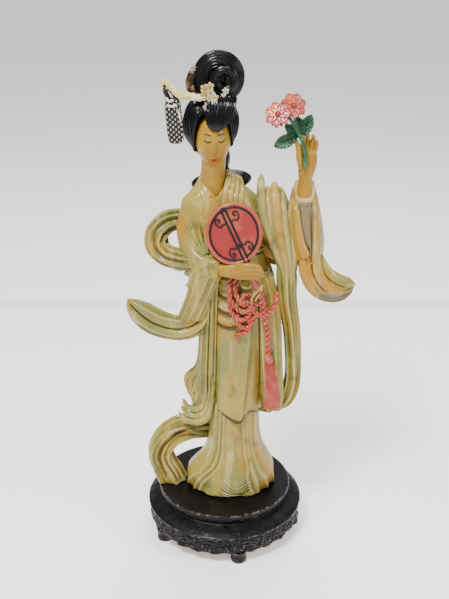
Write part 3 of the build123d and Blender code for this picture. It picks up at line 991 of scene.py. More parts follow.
def make_collar():
    """Two lapels of flat layers, each lying a little behind the one before it."""
    parts = []
    for k in range(4):
        x = 2.9 * k
        left = (
            (0.6 + 0.5 * x, 5.0, 233.0 - 0.6 * k),
            (2.2 + 0.7 * x, -1.8, 233.2 - 1.0 * k),
            chest(1.6 + 0.9 * x, 228.6 - 0.8 * k, 0.9 - 0.25 * k),
            chest(0.4 + x, 222.0, 1.0 - 0.25 * k),
            chest(-0.6 + x, 213.0, 1.0 - 0.25 * k),
            chest(-1.4 + x, 203.0, 0.8 - 0.2 * k),
            chest(-2.0 + x, 194.0, 0.4),
        )
        parts.append(flat_band(left, 1.75, 0.62))
    place(joined("left_neck_layers", parts, robe_material, cavity=6), "robe", "left_lapel")
    parts = []
    for k in range(4):
        x = -2.5 * k
        right = (
            (-11.4 + 0.1 * x, 5.0, 231.6 - 0.8 * k),
            (-12.6 + 0.2 * x, -1.6, 230.4 - 1.6 * k),
            chest(-11.2 + 0.5 * x, 227.4 - 1.8 * k, 0.9 - 0.2 * k),
            chest(-8.4 + 0.9 * x, 222.6 - 1.2 * k, 1.1 - 0.2 * k),
            chest(-4.4 + x, 216.6 - 0.6 * k, 1.1 - 0.2 * k),
            chest(1.4 + x, 208.0, 0.8 - 0.2 * k),
            chest(4.0 + x, 202.0, 0.4),
        )
        parts.append(flat_band(right, 1.7, 0.62))
    place(joined("right_neck_layers", parts, robe_material, cavity=6), "robe", "right_lapel")


def make_sleeves():
    def upper_folds(u, a):
        lift = 0.4 * np.cos(np.radians(5 * a) + 4 * u) * step(u, 0.2, 0.5)
        return lift + 0.6 * np.exp(-(((u - 0.985) / 0.02) ** 2))

    upper = (
        (-10.0, -1.5, 218.0, 7.0, 7.0),
        (-14.6, -2.0, 213.5, 9.6, 9.6),
        (-17.4, -4.0, 204.0, 9.0, 9.8),
        (-17.2, -7.5, 196.0, 8.4, 9.4),
        (-15.0, -12.0, 189.0, 7.4, 8.4),
        (-11.0, -17.0, 184.6, 7.2, 7.0),
        (-6.6, -20.4, 183.6, 6.8, 6.4),
        (-3.4, -21.8, 183.4, 6.4, 6.0),
        (-2.2, -22.2, 183.4, 5.2, 4.8),
    )
    piece = loft(
        "right_arm_sleeve",
        upper,
        robe_material,
        upper_folds,
        across=(0, 0, 1),
        rings=130,
        around=140,
    )
    place(piece, "robe", "right_sleeve")
    pulls = (
        ((-24.0, -7.0, 213.0), (-21.5, -12.5, 204.0), (-16.5, -17.5, 196.0), (-11.5, -19.6, 191.0)),
        ((-19.0, -12.0, 212.0), (-17.6, -14.6, 204.6), (-14.4, -18.0, 197.0), (-11.0, -19.6, 191.4)),
        ((-14.6, -13.2, 212.0), (-14.0, -15.6, 205.0), (-12.4, -18.0, 198.0), (-10.4, -19.4, 192.0)),
        ((-10.6, -14.2, 209.0), (-10.8, -16.4, 203.0), (-10.4, -18.0, 197.0), (-9.6, -19.0, 192.0)),
        ((-26.0, -8.0, 204.0), (-23.0, -13.0, 196.4), (-17.0, -17.6, 191.6), (-11.0, -19.8, 189.8)),
    )
    swell = ((0, 0.05), (0.45, 0.45), (0.8, 0.9), (1, 0.7))
    parts = [tube(route, 1.35, 18, taper=swell, count=50) for route in pulls]
    place(joined("arm_pulls", parts, robe_material, cavity=6), "robe")

    def drop_folds(u, a):
        lift = ridge(u, a, ((0.0, -104), (0.5, -84), (1.0, -64)), 9, 1.1)
        lift = lift + ridge(u, a, ((0.0, -64), (0.5, -50), (1.0, -34)), 8, 1.2)
        lift = lift + ridge(u, a, ((0.0, -36), (0.5, -26), (1.0, -14)), 8, 1.2)
        lift = lift + ridge(u, a, ((0.0, -134), (0.5, -122), (1.0, -100)), 9, 0.9)
        lift = lift + ridge(u, a, ((0.0, -160), (0.5, -150), (1.0, -130)), 9, 0.9)
        return lift + 0.7 * np.exp(-((u / 0.03) ** 2))

    drop = (
        (-20.0, -14.0, 149.6, 5.6, 4.0),
        (-19.4, -14.2, 152.0, 7.2, 5.4),
        (-16.8, -14.8, 160.0, 7.0, 6.2),
        (-14.2, -15.6, 168.0, 7.2, 6.8),
        (-12.4, -16.8, 176.0, 8.2, 7.0),
        (-10.4, -17.6, 184.0, 8.2, 6.8),
        (-9.6, -17.0, 190.0, 4.8, 4.4),
    )
    piece = loft("right_hanging_sleeve", drop, robe_material, drop_folds, level=True, rings=110, around=150)
    place(piece, "robe", "right_sleeve_drop")

    def trumpet_folds(u, a):
        lift = ridge(u, a, ((0.1, -30), (0.5, -44), (0.95, -60)), 9, 1.1)
        lift = lift + ridge(u, a, ((0.1, -70), (0.5, -86), (0.9, -92)), 8, -1.3)
        lift = lift + ridge(u, a, ((0.1, -100), (0.5, -112), (0.92, -112)), 10, 1.0)
        lift = lift + ridge(u, a, ((0.05, -125), (0.4, -132), (0.7, -138)), 8, -1.2)
        return lift + ridge(u, a, ((0.3, -10), (0.6, -14), (0.95, -24)), 10, 0.9)

    trumpet = (
        (-8.6, -13.5, 158.0, 2.4, 2.4),
        (-11.0, -13.6, 152.4, 5.0, 4.2),
        (-17.0, -13.8, 146.2, 7.0, 5.2),
        (-25.0, -14.0, 143.8, 7.6, 5.4),
        (-33.0, -13.8, 144.8, 8.0, 5.4),
        (-41.0, -13.2, 147.8, 8.6, 5.2),
        (-48.0, -12.4, 152.6, 8.0, 4.4),
        (-53.4, -11.6, 157.6, 5.0, 2.8),
        (-56.0, -11.0, 161.0, 0.8, 0.6),
    )
    piece = loft(
        "right_trumpet",
        trumpet,
        robe_material,
        trumpet_folds,
        across=(0, 0, 1),
        rings=120,
        around=120,
    )
    place(piece, "robe_lining", "right_trumpet_sleeve")

    def shoulder_folds(u, a):
        return 0.9 * np.cos(np.radians(10 * a) + 2 * u) * window(u, 0.15, 0.95, 0.1)

    shoulder = (
        (8.0, -1.0, 215.0, 8.0, 8.0),
        (16.0, -0.4, 210.0, 11.0, 8.4),
        (25.0, -0.4, 203.0, 15.0, 8.0),
        (33.0, -2.0, 198.0, 19.0, 7.0),
        (40.0, -4.0, 197.0, 15.0, 6.0),
        (44.0, -5.0, 198.0, 9.0, 4.0),
    )
    piece = loft(
        "left_arm_sleeve",
        shoulder,
        ochre_material,
        shoulder_folds,
        across=(0, 0, 1),
        rings=110,
        around=140,
    )
    place(piece, "robe", "left_upper_sleeve")

    def cuff_opening(u, a):
        """1 inside the V between the cuff's two turned-back panels: wide at the wrist, closed below."""
        half = 3 + 52 * np.clip(u - 0.06, 0, 1) ** 1.1
        return (1 - step(np.abs(turned(a, -86)), half - 3, half + 2)) * window(u, 0.08, 0.97, 0.03)

    def cuff_folds(u, a):
        lift = -1.9 * cuff_opening(u, a) * (1 - step(u, 0.75, 0.98))
        lift = lift + 0.25 * np.cos(np.radians(14 * a) + 1) * cuff_opening(u, a)
        lift = lift + ridge(u, a, ((0.0, -112), (0.5, -124), (0.9, -140)), 14, 0.9)
        lift = lift + ridge(u, a, ((0.0, -60), (0.5, -52), (0.9, -36)), 12, 0.8)
        lift = lift + ridge(u, a, ((0.0, -150), (0.5, -160), (0.95, -170)), 9, 0.9)
        lift = lift + window(
            turned(a, 90),
            -90,
            90,
            15,
        ) * 0.8 * np.cos(np.radians(11 * a)) * (1 - step(u, 0.75, 0.95))
        return lift + 0.5 * np.exp(-((u / 0.02) ** 2))

    cuff = (
        (48.2, -7.0, 183.4, 7.4, 8.0),
        (48.0, -7.0, 185.6, 8.6, 8.8),
        (46.8, -7.0, 196.0, 9.6, 9.6),
        (45.4, -7.2, 208.0, 9.2, 9.2),
        (44.6, -7.8, 218.0, 7.8, 8.0),
        (44.4, -8.2, 225.0, 6.6, 6.8),
        (44.4, -8.4, 230.0, 5.6, 5.6),
    )
    rings, around = 150, 200
    piece = loft("left_cuff", cuff, ochre_material, cuff_folds, level=True, rings=rings, around=around)

    def cut_ends(x, y, z):
        """Dips the front of the wrist opening, and steps the lower rim up in two panels."""
        front = step(-y, 6.0, 13.0)
        dip = 9.5 * front * step(z, 212, 230)
        panel_share = np.clip((x - 39.0) / 18.2, 0, 0.999) * 2 % 1.0
        rise = 6.0 * panel_share * step(-y, 4.0, 8.0) * (1 - step(z, 184, 200))
        return x, y, z - dip + rise

    reshaped(piece, cut_ends)
    u = np.linspace(0, 1, rings)[:, None] * np.ones((1, around))
    a = np.linspace(0, 360, around, endpoint=False)[None, :] * np.ones((rings, 1))
    stain(piece, "shade", 0.85 * cuff_opening(u, turned(a, 0)))
    place(piece, "robe_ochre", "left_cuff_sleeve")

    def left_trumpet_folds(u, a):
        return 0.4 * np.cos(np.radians(9 * a) + 3 * u) * window(u, 0.05, 0.95, 0.05)

    trumpet = (
        (48.6, -8.0, 192.0, 6.4, 6.0),
        (49.4, -8.0, 184.0, 7.2, 6.4),
        (51.4, -8.0, 177.0, 8.2, 6.2),
        (55.0, -8.0, 171.4, 9.4, 5.8),
        (60.4, -7.8, 167.2, 9.6, 5.2),
        (66.2, -7.6, 165.4, 8.2, 4.4),
        (71.2, -7.4, 166.2, 5.2, 2.8),
        (75.0, -7.2, 167.8, 1.2, 0.8),
    )
    piece = loft(
        "left_trumpet",
        trumpet,
        ochre_material,
        left_trumpet_folds,
        across=(1, 0, 1),
        rings=120,
        around=120,
    )

    def hollowed(x, y, z):
        """Sinks the mouth under the sleeve's folds."""
        mouth = step(165.5 - z, 0.0, 3.0) * step(-y, 6.0, 9.0) * window(x, 54.0, 72.0, 3.0)
        return x, y + 3.4 * mouth, z

    moved = reshaped(piece, hollowed)
    stain(piece, "shade", step(166.0 - moved[:, 2], 0.0, 2.5) * step(moved[:, 0], 50.0, 55.0) * 0.95)
    place(piece, "robe_lining", "left_trumpet_sleeve")
    flaps = (
        (((44.0, -13.0, 189.0), (45.6, -14.6, 179.0), (49.6, -14.2, 170.6), (54.4, -12.4, 163.0)), 2.7),
        (((47.6, -14.0, 189.0), (48.6, -15.0, 179.0), (52.4, -14.6, 171.2), (57.4, -12.6, 165.2)), 1.5),
        (
            (
                (52.0, -14.4, 191.0),
                (52.8, -15.4, 181.0),
                (56.4, -14.8, 173.2),
                (62.2, -13.0, 168.0),
                (69.4, -10.6, 164.6),
            ),
            3.0,
        ),
        (
            (
                (52.6, -7.0, 192.0),
                (56.8, -11.0, 181.6),
                (62.4, -12.2, 175.2),
                (69.4, -11.2, 171.2),
                (75.8, -8.4, 168.8),
            ),
            2.7,
        ),
        (
            (
                (53.4, -5.0, 190.0),
                (58.8, -8.0, 179.4),
                (65.0, -8.6, 174.6),
                (71.4, -8.4, 171.8),
                (76.2, -7.6, 168.4),
            ),
            1.8,
        ),
    )
    swell = ((0, 0.5), (0.25, 1.0), (0.75, 0.9), (0.95, 0.45), (1, 0.15))
    parts = [tube(route, radius, 24, taper=swell, count=70, flat=0.75) for route, radius in flaps]
    place(joined("left_trumpet_folds", parts[:3], ochre_material, cavity=6), "robe_ochre")
    place(joined("left_trumpet_crest", parts[3:], robe_material, cavity=6), "robe")


# ======================================================================================
# Stole
# ======================================================================================
def ribbon(name, rows, material, folds=None, rings=160, around=120, power=0.8, cavity=10):
    """A folded band that turns in the plane of the front view: half width is across the turn."""
    rows = [tuple(r) + (0.0,) * (6 - len(r)) for r in rows]
    path = smooth(rows, rings)
    centre = path[:, :3]
    toward = unit(np.gradient(centre, axis=0))
    side = unit(np.cross(toward, np.array((0.0, 1.0, 0.0))))
    up = np.cross(toward, side)
    turn = np.radians(path[:, 5])[:, None]
    side, up = side * np.cos(turn) + up * np.sin(turn), up * np.cos(turn) - side * np.sin(turn)
    angle = np.linspace(0, 2 * np.pi, around, endpoint=False)
    cos, sin = np.cos(angle), np.sin(angle)
    cos_p = np.sign(cos) * np.abs(cos) ** power
    sin_p = np.sign(sin) * np.abs(sin) ** power
    u = np.linspace(0, 1, rings)[:, None] * np.ones((1, around))
    a = np.degrees(angle)[None, :] * np.ones((rings, 1))
    lift = folds(u, turned(a, 0)) if folds else 0
    wide, thick = path[:, 3:4], path[:, 4:5]
    points = (
        centre[:, None, :]
        + (wide * cos_p + lift * cos)[..., None] * side[:, None, :]
        + (thick * sin_p + lift * sin)[..., None] * up[:, None, :]
    )
    flat, faces = close_ends(points)
    return mesh_piece(name, flat, faces, material, cavity=cavity)


def strands(count, height, turns=0.0):
    """Grooves that run along a band, as many across its face."""
    return lambda u, a: height * np.cos(np.radians(count * a) + 2 * np.pi * turns * u)


def make_stole():
    pleat_routes = (
        (
            (
                (20.6, -2.0, 232.4),
                (20.4, -8.0, 224.0),
                (21.8, -12.0, 211.0),
                (27.4, -13.4, 195.0),
                (33.0, -13.0, 180.0),
                (35.0, -11.4, 164.0),
            ),
            2.6,
        ),
        (
            (
                (24.2, -2.0, 225.6),
                (24.6, -9.0, 217.0),
                (26.4, -12.0, 206.0),
                (30.4, -13.0, 193.0),
                (34.4, -12.8, 179.0),
                (36.0, -11.4, 164.0),
            ),
            2.3,
        ),
        (
            (
                (32.2, -1.5, 222.4),
                (33.0, -7.4, 214.0),
                (34.0, -10.6, 204.0),
                (35.6, -11.8, 192.0),
                (37.0, -11.8, 178.0),
                (37.2, -11.2, 163.0),
            ),
            2.9,
        ),
        (
            (
                (35.8, -1.5, 217.0),
                (37.0, -6.0, 209.0),
                (38.6, -8.8, 198.0),
                (39.4, -9.6, 186.0),
                (38.8, -10.4, 174.0),
                (38.0, -10.4, 160.0),
            ),
            3.2,
        ),
    )
    swell = ((0, 0.3), (0.05, 0.68), (0.15, 0.95), (0.3, 1.0), (0.7, 0.85), (1, 0.3))
    parts = []
    for route, radius in pleat_routes:
        parts.append(tube(route, radius, 28, taper=swell, count=80, flat=1.25, across=(1, 0, 0.2)))
    warm = (
        (28.0, -1.5, 228.0),
        (28.2, -8.4, 219.0),
        (29.4, -12.2, 207.0),
        (32.2, -13.4, 194.0),
        (35.0, -13.0, 180.0),
        (36.2, -11.6, 164.0),
    )
    fold = tube(warm, 3.5, 32, taper=swell, count=90, flat=1.1, across=(1, 0, 0.2))
    place(joined("stole_warm_fold", [fold], ochre_material, cavity=8), "robe_ochre")
    under = (
        (27.0, 1.0, 224.0, 5.6, 3.0),
        (27.4, -1.4, 219.0, 8.0, 4.4),
        (28.4, -5.4, 211.0, 8.6, 5.0),
        (31.0, -7.6, 197.0, 7.0, 4.2),
        (34.6, -9.6, 182.0, 5.0, 3.8),
    )
    parts.append(close_ends(loft_points(under, None, across=(1, 0, 0.2), rings=60, around=60)))
    fall = (
        (34.8, -9.0, 193.0, 1.4, 1.0),
        (35.0, -10.0, 186.0, 3.6, 3.0),
        (35.6, -10.8, 175.0, 4.9, 4.0),
        (36.6, -10.2, 160.0, 4.6, 4.0),
        (39.6, -9.5, 141.0, 4.3, 3.8),
        (41.2, -8.5, 122.0, 4.2, 3.8),
        (41.4, -7.0, 107.0, 4.4, 4.0),
        (38.6, -4.0, 95.0, 4.8, 4.4),
        (32.4, 0.0, 86.6, 5.0, 4.6),
        (23.0, 5.0, 84.6, 5.2, 4.6),
        (10.0, 11.0, 82.0, 5.4, 4.2),
        (-4.0, 9.0, 75.0, 4.6, 4.0),
    )

    def folds(u, a):
        return 1.0 * np.cos(np.radians(7 * a) + 3 * u) + 0.35 * np.cos(np.radians(16 * a))

    band = loft_points(fall, folds, across=(1, 0, 0.2), rings=240, around=140, power=0.8)
    parts.append(close_ends(band))
    place(joined("stole_band", parts, stole_material, cavity=10), "robe_lining", "stole_fall")

    loop = (
        (27.0, 4.0, 218.0, 5.0, 2.6),
        (18.0, 10.6, 210.0, 6.0, 2.8),
        (3.0, 13.4, 203.0, 6.4, 2.8),
        (-10.0, 12.0, 199.4, 5.6, 3.2),
        (-19.0, 9.5, 201.6, 5.2, 4.2),
        (-26.0, 8.0, 203.6, 5.4, 4.6),
        (-33.4, 5.6, 202.4, 5.8, 5.0),
        (-38.6, 2.0, 197.4, 6.2, 5.2),
        (-38.8, -2.0, 191.0, 6.0, 5.2),
        (-34.0, -6.0, 186.6, 5.4, 5.0),
        (-26.0, -10.5, 185.4, 5.0, 4.6),
        (-18.0, -14.5, 185.4, 4.2, 4.0),
        (-12.0, -17.5, 186.0, 3.0, 3.0),
    )
    piece = ribbon("stole_curl", loop, stole_material, strands(8, 1.0, 0.6), rings=240)
    place(piece, "robe_lining", "stole_loop")

    parts = []
    crook = (-9.6, -19.6, 190.6)
    crescents = (
        (
            ((-43.4, 0.0, 192.0), (-37.4, -4.0, 187.0), (-28.0, -9.5, 186.6), (-18.0, -16.0, 188.6), crook),
            3.2,
        ),
        (
            ((-39.8, -4.5, 186.6), (-34.0, -6.8, 183.8), (-26.0, -11.5, 184.6), (-17.5, -17.0, 188.0), crook),
            2.8,
        ),
        (
            (
                (-31.8, -8.0, 181.4),
                (-27.0, -10.5, 180.6),
                (-21.0, -14.0, 183.0),
                (-15.5, -18.0, 186.8),
                crook,
            ),
            2.8,
        ),
        (((-23.2, -11.5, 176.6), (-20.4, -13.6, 178.4), (-17.4, -16.4, 182.0), (-13.6, -19.0, 186.4)), 2.6),
        (((-22.2, -12.6, 169.6), (-19.6, -15.0, 172.0), (-16.4, -18.4, 178.0), (-12.6, -20.4, 184.6)), 2.2),
        (((-22.4, -13.0, 161.0), (-19.8, -15.6, 164.2), (-16.6, -18.8, 171.0), (-12.6, -20.8, 179.0)), 2.0),
    )
    swell = ((0, 0.12), (0.12, 0.62), (0.35, 1.0), (0.8, 0.7), (1, 0.35))
    for route, radius in crescents:
        parts.append(tube(route, radius, 26, taper=swell, count=60, flat=0.8))
    place(joined("stole_gathers", parts, robe_material, cavity=6), "robe", "stole_folds")

    train = (
        (2.0, 8.0, 66.0, 6.0, 3.6),
        (-8.0, 7.0, 65.6, 7.2, 4.0),
        (-16.0, 6.0, 65.8, 7.8, 4.6),
        (-24.0, 5.0, 66.2, 8.0, 5.0),
        (-31.6, 4.0, 63.6, 7.9, 5.4),
        (-38.0, 2.6, 57.6, 7.7, 5.8),
        (-41.0, 0.6, 50.0, 7.6, 6.2),
        (-39.0, -0.6, 43.0, 7.8, 6.2),
        (-35.6, -1.2, 36.6, 8.4, 6.0),
        (-32.6, -1.6, 29.4, 8.8, 5.6),
    )

    def folds(u, a):
        lift = 0.7 * np.cos(np.radians(7 * a) + 2.4 * u) + 0.3 * np.cos(np.radians(15 * a) - 3 * u)
        for middle in (-90, 90):
            lift = lift + ridge(u, a, ((0.1, middle + 22), (0.5, middle - 8), (0.9, middle + 12)), 12, -1.6)
            lift = lift + ridge(u, a, ((0.1, middle - 30), (0.5, middle + 26), (0.95, middle + 40)), 10, 1.1)
            lift = lift + ridge(u, a, ((0.3, middle - 44), (0.6, middle - 40), (0.95, middle - 30)), 9, 1.0)
        return lift

    disc_face = DISC_TOP + 0.05
    piece = ribbon("train_curl", train, stole_material, folds)
    flatten(piece, disc_face)
    place(piece, "robe_lining", "train_loop")

    parts = []
    wing = (
        (
            (
                (-25.6, -7.0, 92.8),
                (-22.6, -8.8, 88.4),
                (-17.4, -10.0, 87.4),
                (-13.0, -12.6, 92.0),
                (-11.4, -15.2, 101.0),
                (-10.8, -17.4, 116.0),
            ),
            2.0,
        ),
        (
            (
                (-26.6, -7.0, 88.2),
                (-23.0, -9.2, 84.0),
                (-17.0, -10.8, 83.4),
                (-11.6, -13.0, 88.4),
                (-9.4, -15.2, 99.0),
                (-8.8, -17.6, 115.0),
            ),
            2.0,
        ),
        (
            (
                (-28.2, -6.0, 82.6),
                (-24.0, -9.0, 79.4),
                (-17.4, -10.8, 79.4),
                (-10.8, -12.6, 84.4),
                (-7.8, -14.6, 96.0),
                (-6.8, -17.0, 113.0),
            ),
            2.2,
        ),
        (
            (
                (-27.0, -3.0, 79.4),
                (-22.0, -5.8, 77.0),
                (-15.0, -7.2, 77.2),
                (-9.6, -8.4, 82.4),
                (-6.6, -8.6, 94.0),
                (-6.0, -8.6, 108.0),
            ),
            2.6,
        ),
        (((-23.6, -6.0, 108.6), (-19.4, -8.4, 110.4), (-14.6, -9.8, 118.0), (-12.0, -10.0, 130.0)), 1.6),
        (((-22.6, -7.0, 97.0), (-18.6, -9.6, 101.0), (-14.4, -10.8, 111.0), (-12.0, -11.0, 124.0)), 1.5),
        (((-19.0, -8.0, 90.0), (-16.4, -10.4, 95.4), (-13.4, -11.4, 106.0), (-11.6, -11.6, 120.0)), 1.5),
    )
    for route, radius in wing:
        parts.append(
            tube(
                route,
                radius,
                24,
                taper=((0, 0.3), (0.1, 0.75), (0.4, 1.0), (0.75, 0.8), (1, 0.08)),
                count=70,
                flat=0.9,
            )
        )
    body = (
        (-14.4, -4.0, 78.0, 6.4, 4.0),
        (-14.8, -4.0, 84.0, 6.6, 5.4),
        (-15.4, -4.0, 90.0, 5.0, 6.0),
        (-16.0, -4.0, 96.0, 6.2, 6.6),
        (-16.4, -4.0, 103.0, 8.0, 7.0),
        (-15.6, -4.0, 108.4, 7.8, 7.4),
        (-13.2, -4.0, 112.0, 5.8, 7.8),
        (-11.4, -4.0, 119.0, 4.8, 8.2),
        (-9.6, -4.0, 135.0, 5.0, 8.6),
        (-7.2, -4.0, 152.0, 4.8, 8.6),
        (-6.0, -4.0, 166.0, 4.0, 8.0),
    )

    def folds(u, a):
        return window(u, 0.3, 0.98, 0.05) * 0.6 * np.cos(np.radians(12 * a) + 3 * u)

    parts.append(close_ends(loft_points(body, folds, level=True, rings=120, around=140)))
    place(joined("right_drape", parts, robe_material, cavity=10), "robe", "right_hanging_drape")


def flatten(piece, height):
    """Rests the points that fall below a height on it."""
    for v in piece.data.vertices:
        v.co.z = max(v.co.z, height * MM)
    piece.data.update()


# ======================================================================================
# Head and hair
# ======================================================================================
FACE_CENTRE = np.array((-6.2, -7.0, 252.8))
FACE_SIZE = (9.7, 11.0, 14.4)
HAIR_CENTRE = np.array((-6.5, -3.0, 261.5))
HAIR_SIZE = np.array((13.6, 13.2, 16.0))
HEAD_TURN = 5.0  # degrees toward her left
HEAD_BOW = 6.0  # degrees forward
EYE_APART = 3.75  # half the distance between the eyes
EYE_Z = 2.6
NOSE_Z = -3.8
MOUTH_Z = -7.9
BROW_Z = 6.0


def bump(x, z, at_x, at_z, wide, tall, height):
    """A soft swelling on the face."""
    return height * np.exp(-(((x - at_x) / wide) ** 2) - ((z - at_z) / tall) ** 2)


def face_relief(x, z):
    """How far the front of the face stands out from its plain egg, in millimetres."""
    side = np.abs(x)
    lift = bump(x, z, 0, 1.0, 1.0, 3.6, 0.9) + bump(x, z, 0, NOSE_Z + 0.9, 1.05, 1.5, 1.5)
    lift = lift + bump(side, z, 1.25, NOSE_Z + 0.35, 0.65, 0.7, 0.75)
    lift = lift - bump(x, z, 0, NOSE_Z - 0.9, 2.2, 0.8, 0.35)
    lift = lift - bump(side, z, EYE_APART, EYE_Z + 0.6, 2.6, 1.9, 0.95)
    lift = lift + bump(side, z, EYE_APART, EYE_Z + 0.15, 1.75, 1.0, 0.85)
    lift = lift + bump(side, z, EYE_APART, BROW_Z, 3.0, 0.9, 0.30)
    lift = lift + bump(side, z, 5.4, -2.0, 2.6, 3.0, 0.35)
    lift = lift + bump(x, z, 0, MOUTH_Z, 3.0, 2.2, 0.75)
    lift = lift + bump(side, z, 0.75, MOUTH_Z + 0.75, 1.1, 0.5, 0.42)
    lift = lift + bump(x, z, 0, MOUTH_Z - 0.75, 1.35, 0.55, 0.50)
    lift = lift - bump(x, z, 0, MOUTH_Z + 0.05, 2.3, 0.28, 0.50)
    lift = lift - bump(x, z, 0, MOUTH_Z - 1.9, 2.0, 0.6, 0.35)
    return lift + bump(x, z, 0, MOUTH_Z - 3.8, 2.4, 1.6, 0.7)


def face_paint(x, z):
    """1 where lashes and brows are drawn, 2 where the lips are, 0 on bare skin."""
    side = np.abs(x)
    from_eye = side - EYE_APART
    lash = EYE_Z - 0.55 + 0.13 * from_eye**2 + 0.05 * from_eye
    thick = 0.46 * np.clip(1 - (from_eye / 2.3) ** 2, 0, 1) + 0.06
    ink = np.exp(-(((z - lash) / thick) ** 4)) * (np.abs(from_eye) < 2.3)
    lid = EYE_Z + 0.55 - 0.12 * from_eye**2
    ink = np.maximum(ink, 0.55 * np.exp(-(((z - lid) / 0.13) ** 2)) * (np.abs(from_eye) < 1.8))
    brow = BROW_Z - 0.10 * (side - 3.9) ** 2
    thin = 0.34 * np.clip(1 - ((side - 3.4) / 2.7) ** 2, 0, 1) + 0.03
    ink = np.maximum(ink, np.exp(-(((z - brow) / thin) ** 4)) * (np.abs(side - 3.6) < 2.5))
    top = MOUTH_Z + 0.95 - 0.20 * side**2 - 0.35 * np.exp(-((side / 0.4) ** 2))
    low = MOUTH_Z - 1.15 + 0.22 * side**2
    lips = (1 - step(z, top - 0.08, top + 0.08)) * step(z, low - 0.08, low + 0.08)
    return ink, lips * (side < 2.3)


def in_head(points):
    """Turns points given about the face's centre to where the head looks."""
    turn, bow = math.radians(HEAD_TURN), math.radians(HEAD_BOW)
    x, y, z = np.moveaxis(points, -1, 0)
    y, z = y * math.cos(bow) - z * math.sin(bow), y * math.sin(bow) + z * math.cos(bow)
    x, y = x * math.cos(turn) - y * math.sin(turn), x * math.sin(turn) + y * math.cos(turn)
    return np.stack([x, y, z], axis=-1) + FACE_CENTRE


def make_head():
    around, rings = 300, 260
    theta = np.linspace(0, np.pi, rings)[:, None]
    phi = np.linspace(0, 2 * np.pi, around, endpoint=False)[None, :]
    dx, dy, dz = np.sin(theta) * np.cos(phi), np.sin(theta) * np.sin(phi), np.cos(theta) + 0 * phi
    low = np.clip(-dz, 0, 1)
    wide = FACE_SIZE[0] * (1 - 0.30 * low**1.8)
    deep = FACE_SIZE[1] * (1 - 0.16 * low**2)
    x, y, z = wide * dx, deep * dy, FACE_SIZE[2] * dz
    y = y - 1.2 * low**2
    front = step(-dy, 0.05, 0.45)
    y = y - front * face_relief(x, z)
    points = in_head(np.stack([x, y, z], axis=-1))
    ink, lips = face_paint(x, z)
    head, faces = close_ends(points)
    throat = (
        (-5.8, -3.0, 216.0, 9.0, 6.4),
        (-6.2, -3.4, 223.0, 7.8, 6.0),
        (-6.4, -3.8, 230.0, 6.9, 5.8),
        (-6.2, -4.4, 238.0, 6.7, 6.3),
        (-5.8, -5.0, 246.0, 6.8, 7.0),
    )

    def creases(u, a):
        return -0.18 * np.exp(-(((u - 0.56) / 0.012) ** 2)) - 0.15 * np.exp(-(((u - 0.40) / 0.012) ** 2))

    neck = close_ends(loft_points(throat, creases, level=True, rings=70, around=90))
    piece = joined("head_and_neck", [(head, faces), neck], skin_material)
    stain(piece, "ink", ink * front)
    stain(piece, "lips", lips * front)
    place(piece, "skin", "head")


def egg(centre, size, rings=60, around=90, relief=None, tip=0.0):
    """Points and faces of an egg. relief(theta, phi) lifts it; both are angles in degrees."""
    theta = np.linspace(0.5, 179.5, rings)[:, None] + np.zeros((1, around))
    phi = np.linspace(0, 360, around, endpoint=False)[None, :] + np.zeros((rings, 1))
    t, p = np.radians(theta), np.radians(phi)
    direction = np.stack([np.sin(t) * np.cos(p), np.sin(t) * np.sin(p), np.cos(t)], axis=-1)
    lift = relief(theta, phi)[..., None] if relief else 0
    points = direction * (np.array(size) + lift)
    if tip:
        lean = math.radians(tip)
        x, z = points[..., 0].copy(), points[..., 2].copy()
        points[..., 0] = x * math.cos(lean) + z * math.sin(lean)
        points[..., 2] = z * math.cos(lean) - x * math.sin(lean)
    return close_ends(points + np.array(centre))


def combed(count, height, seed=0.0):
    """Uneven grooves that run from pole to pole."""
    def relief(theta, phi):
        p = np.radians(phi)
        wave = np.cos(count * p + seed) + 0.6 * np.cos(count * 1.6 // 1 * p + 2 * seed + 0.02 * theta)
        return height * wave * np.sin(np.radians(theta)) ** 0.5
    return relief


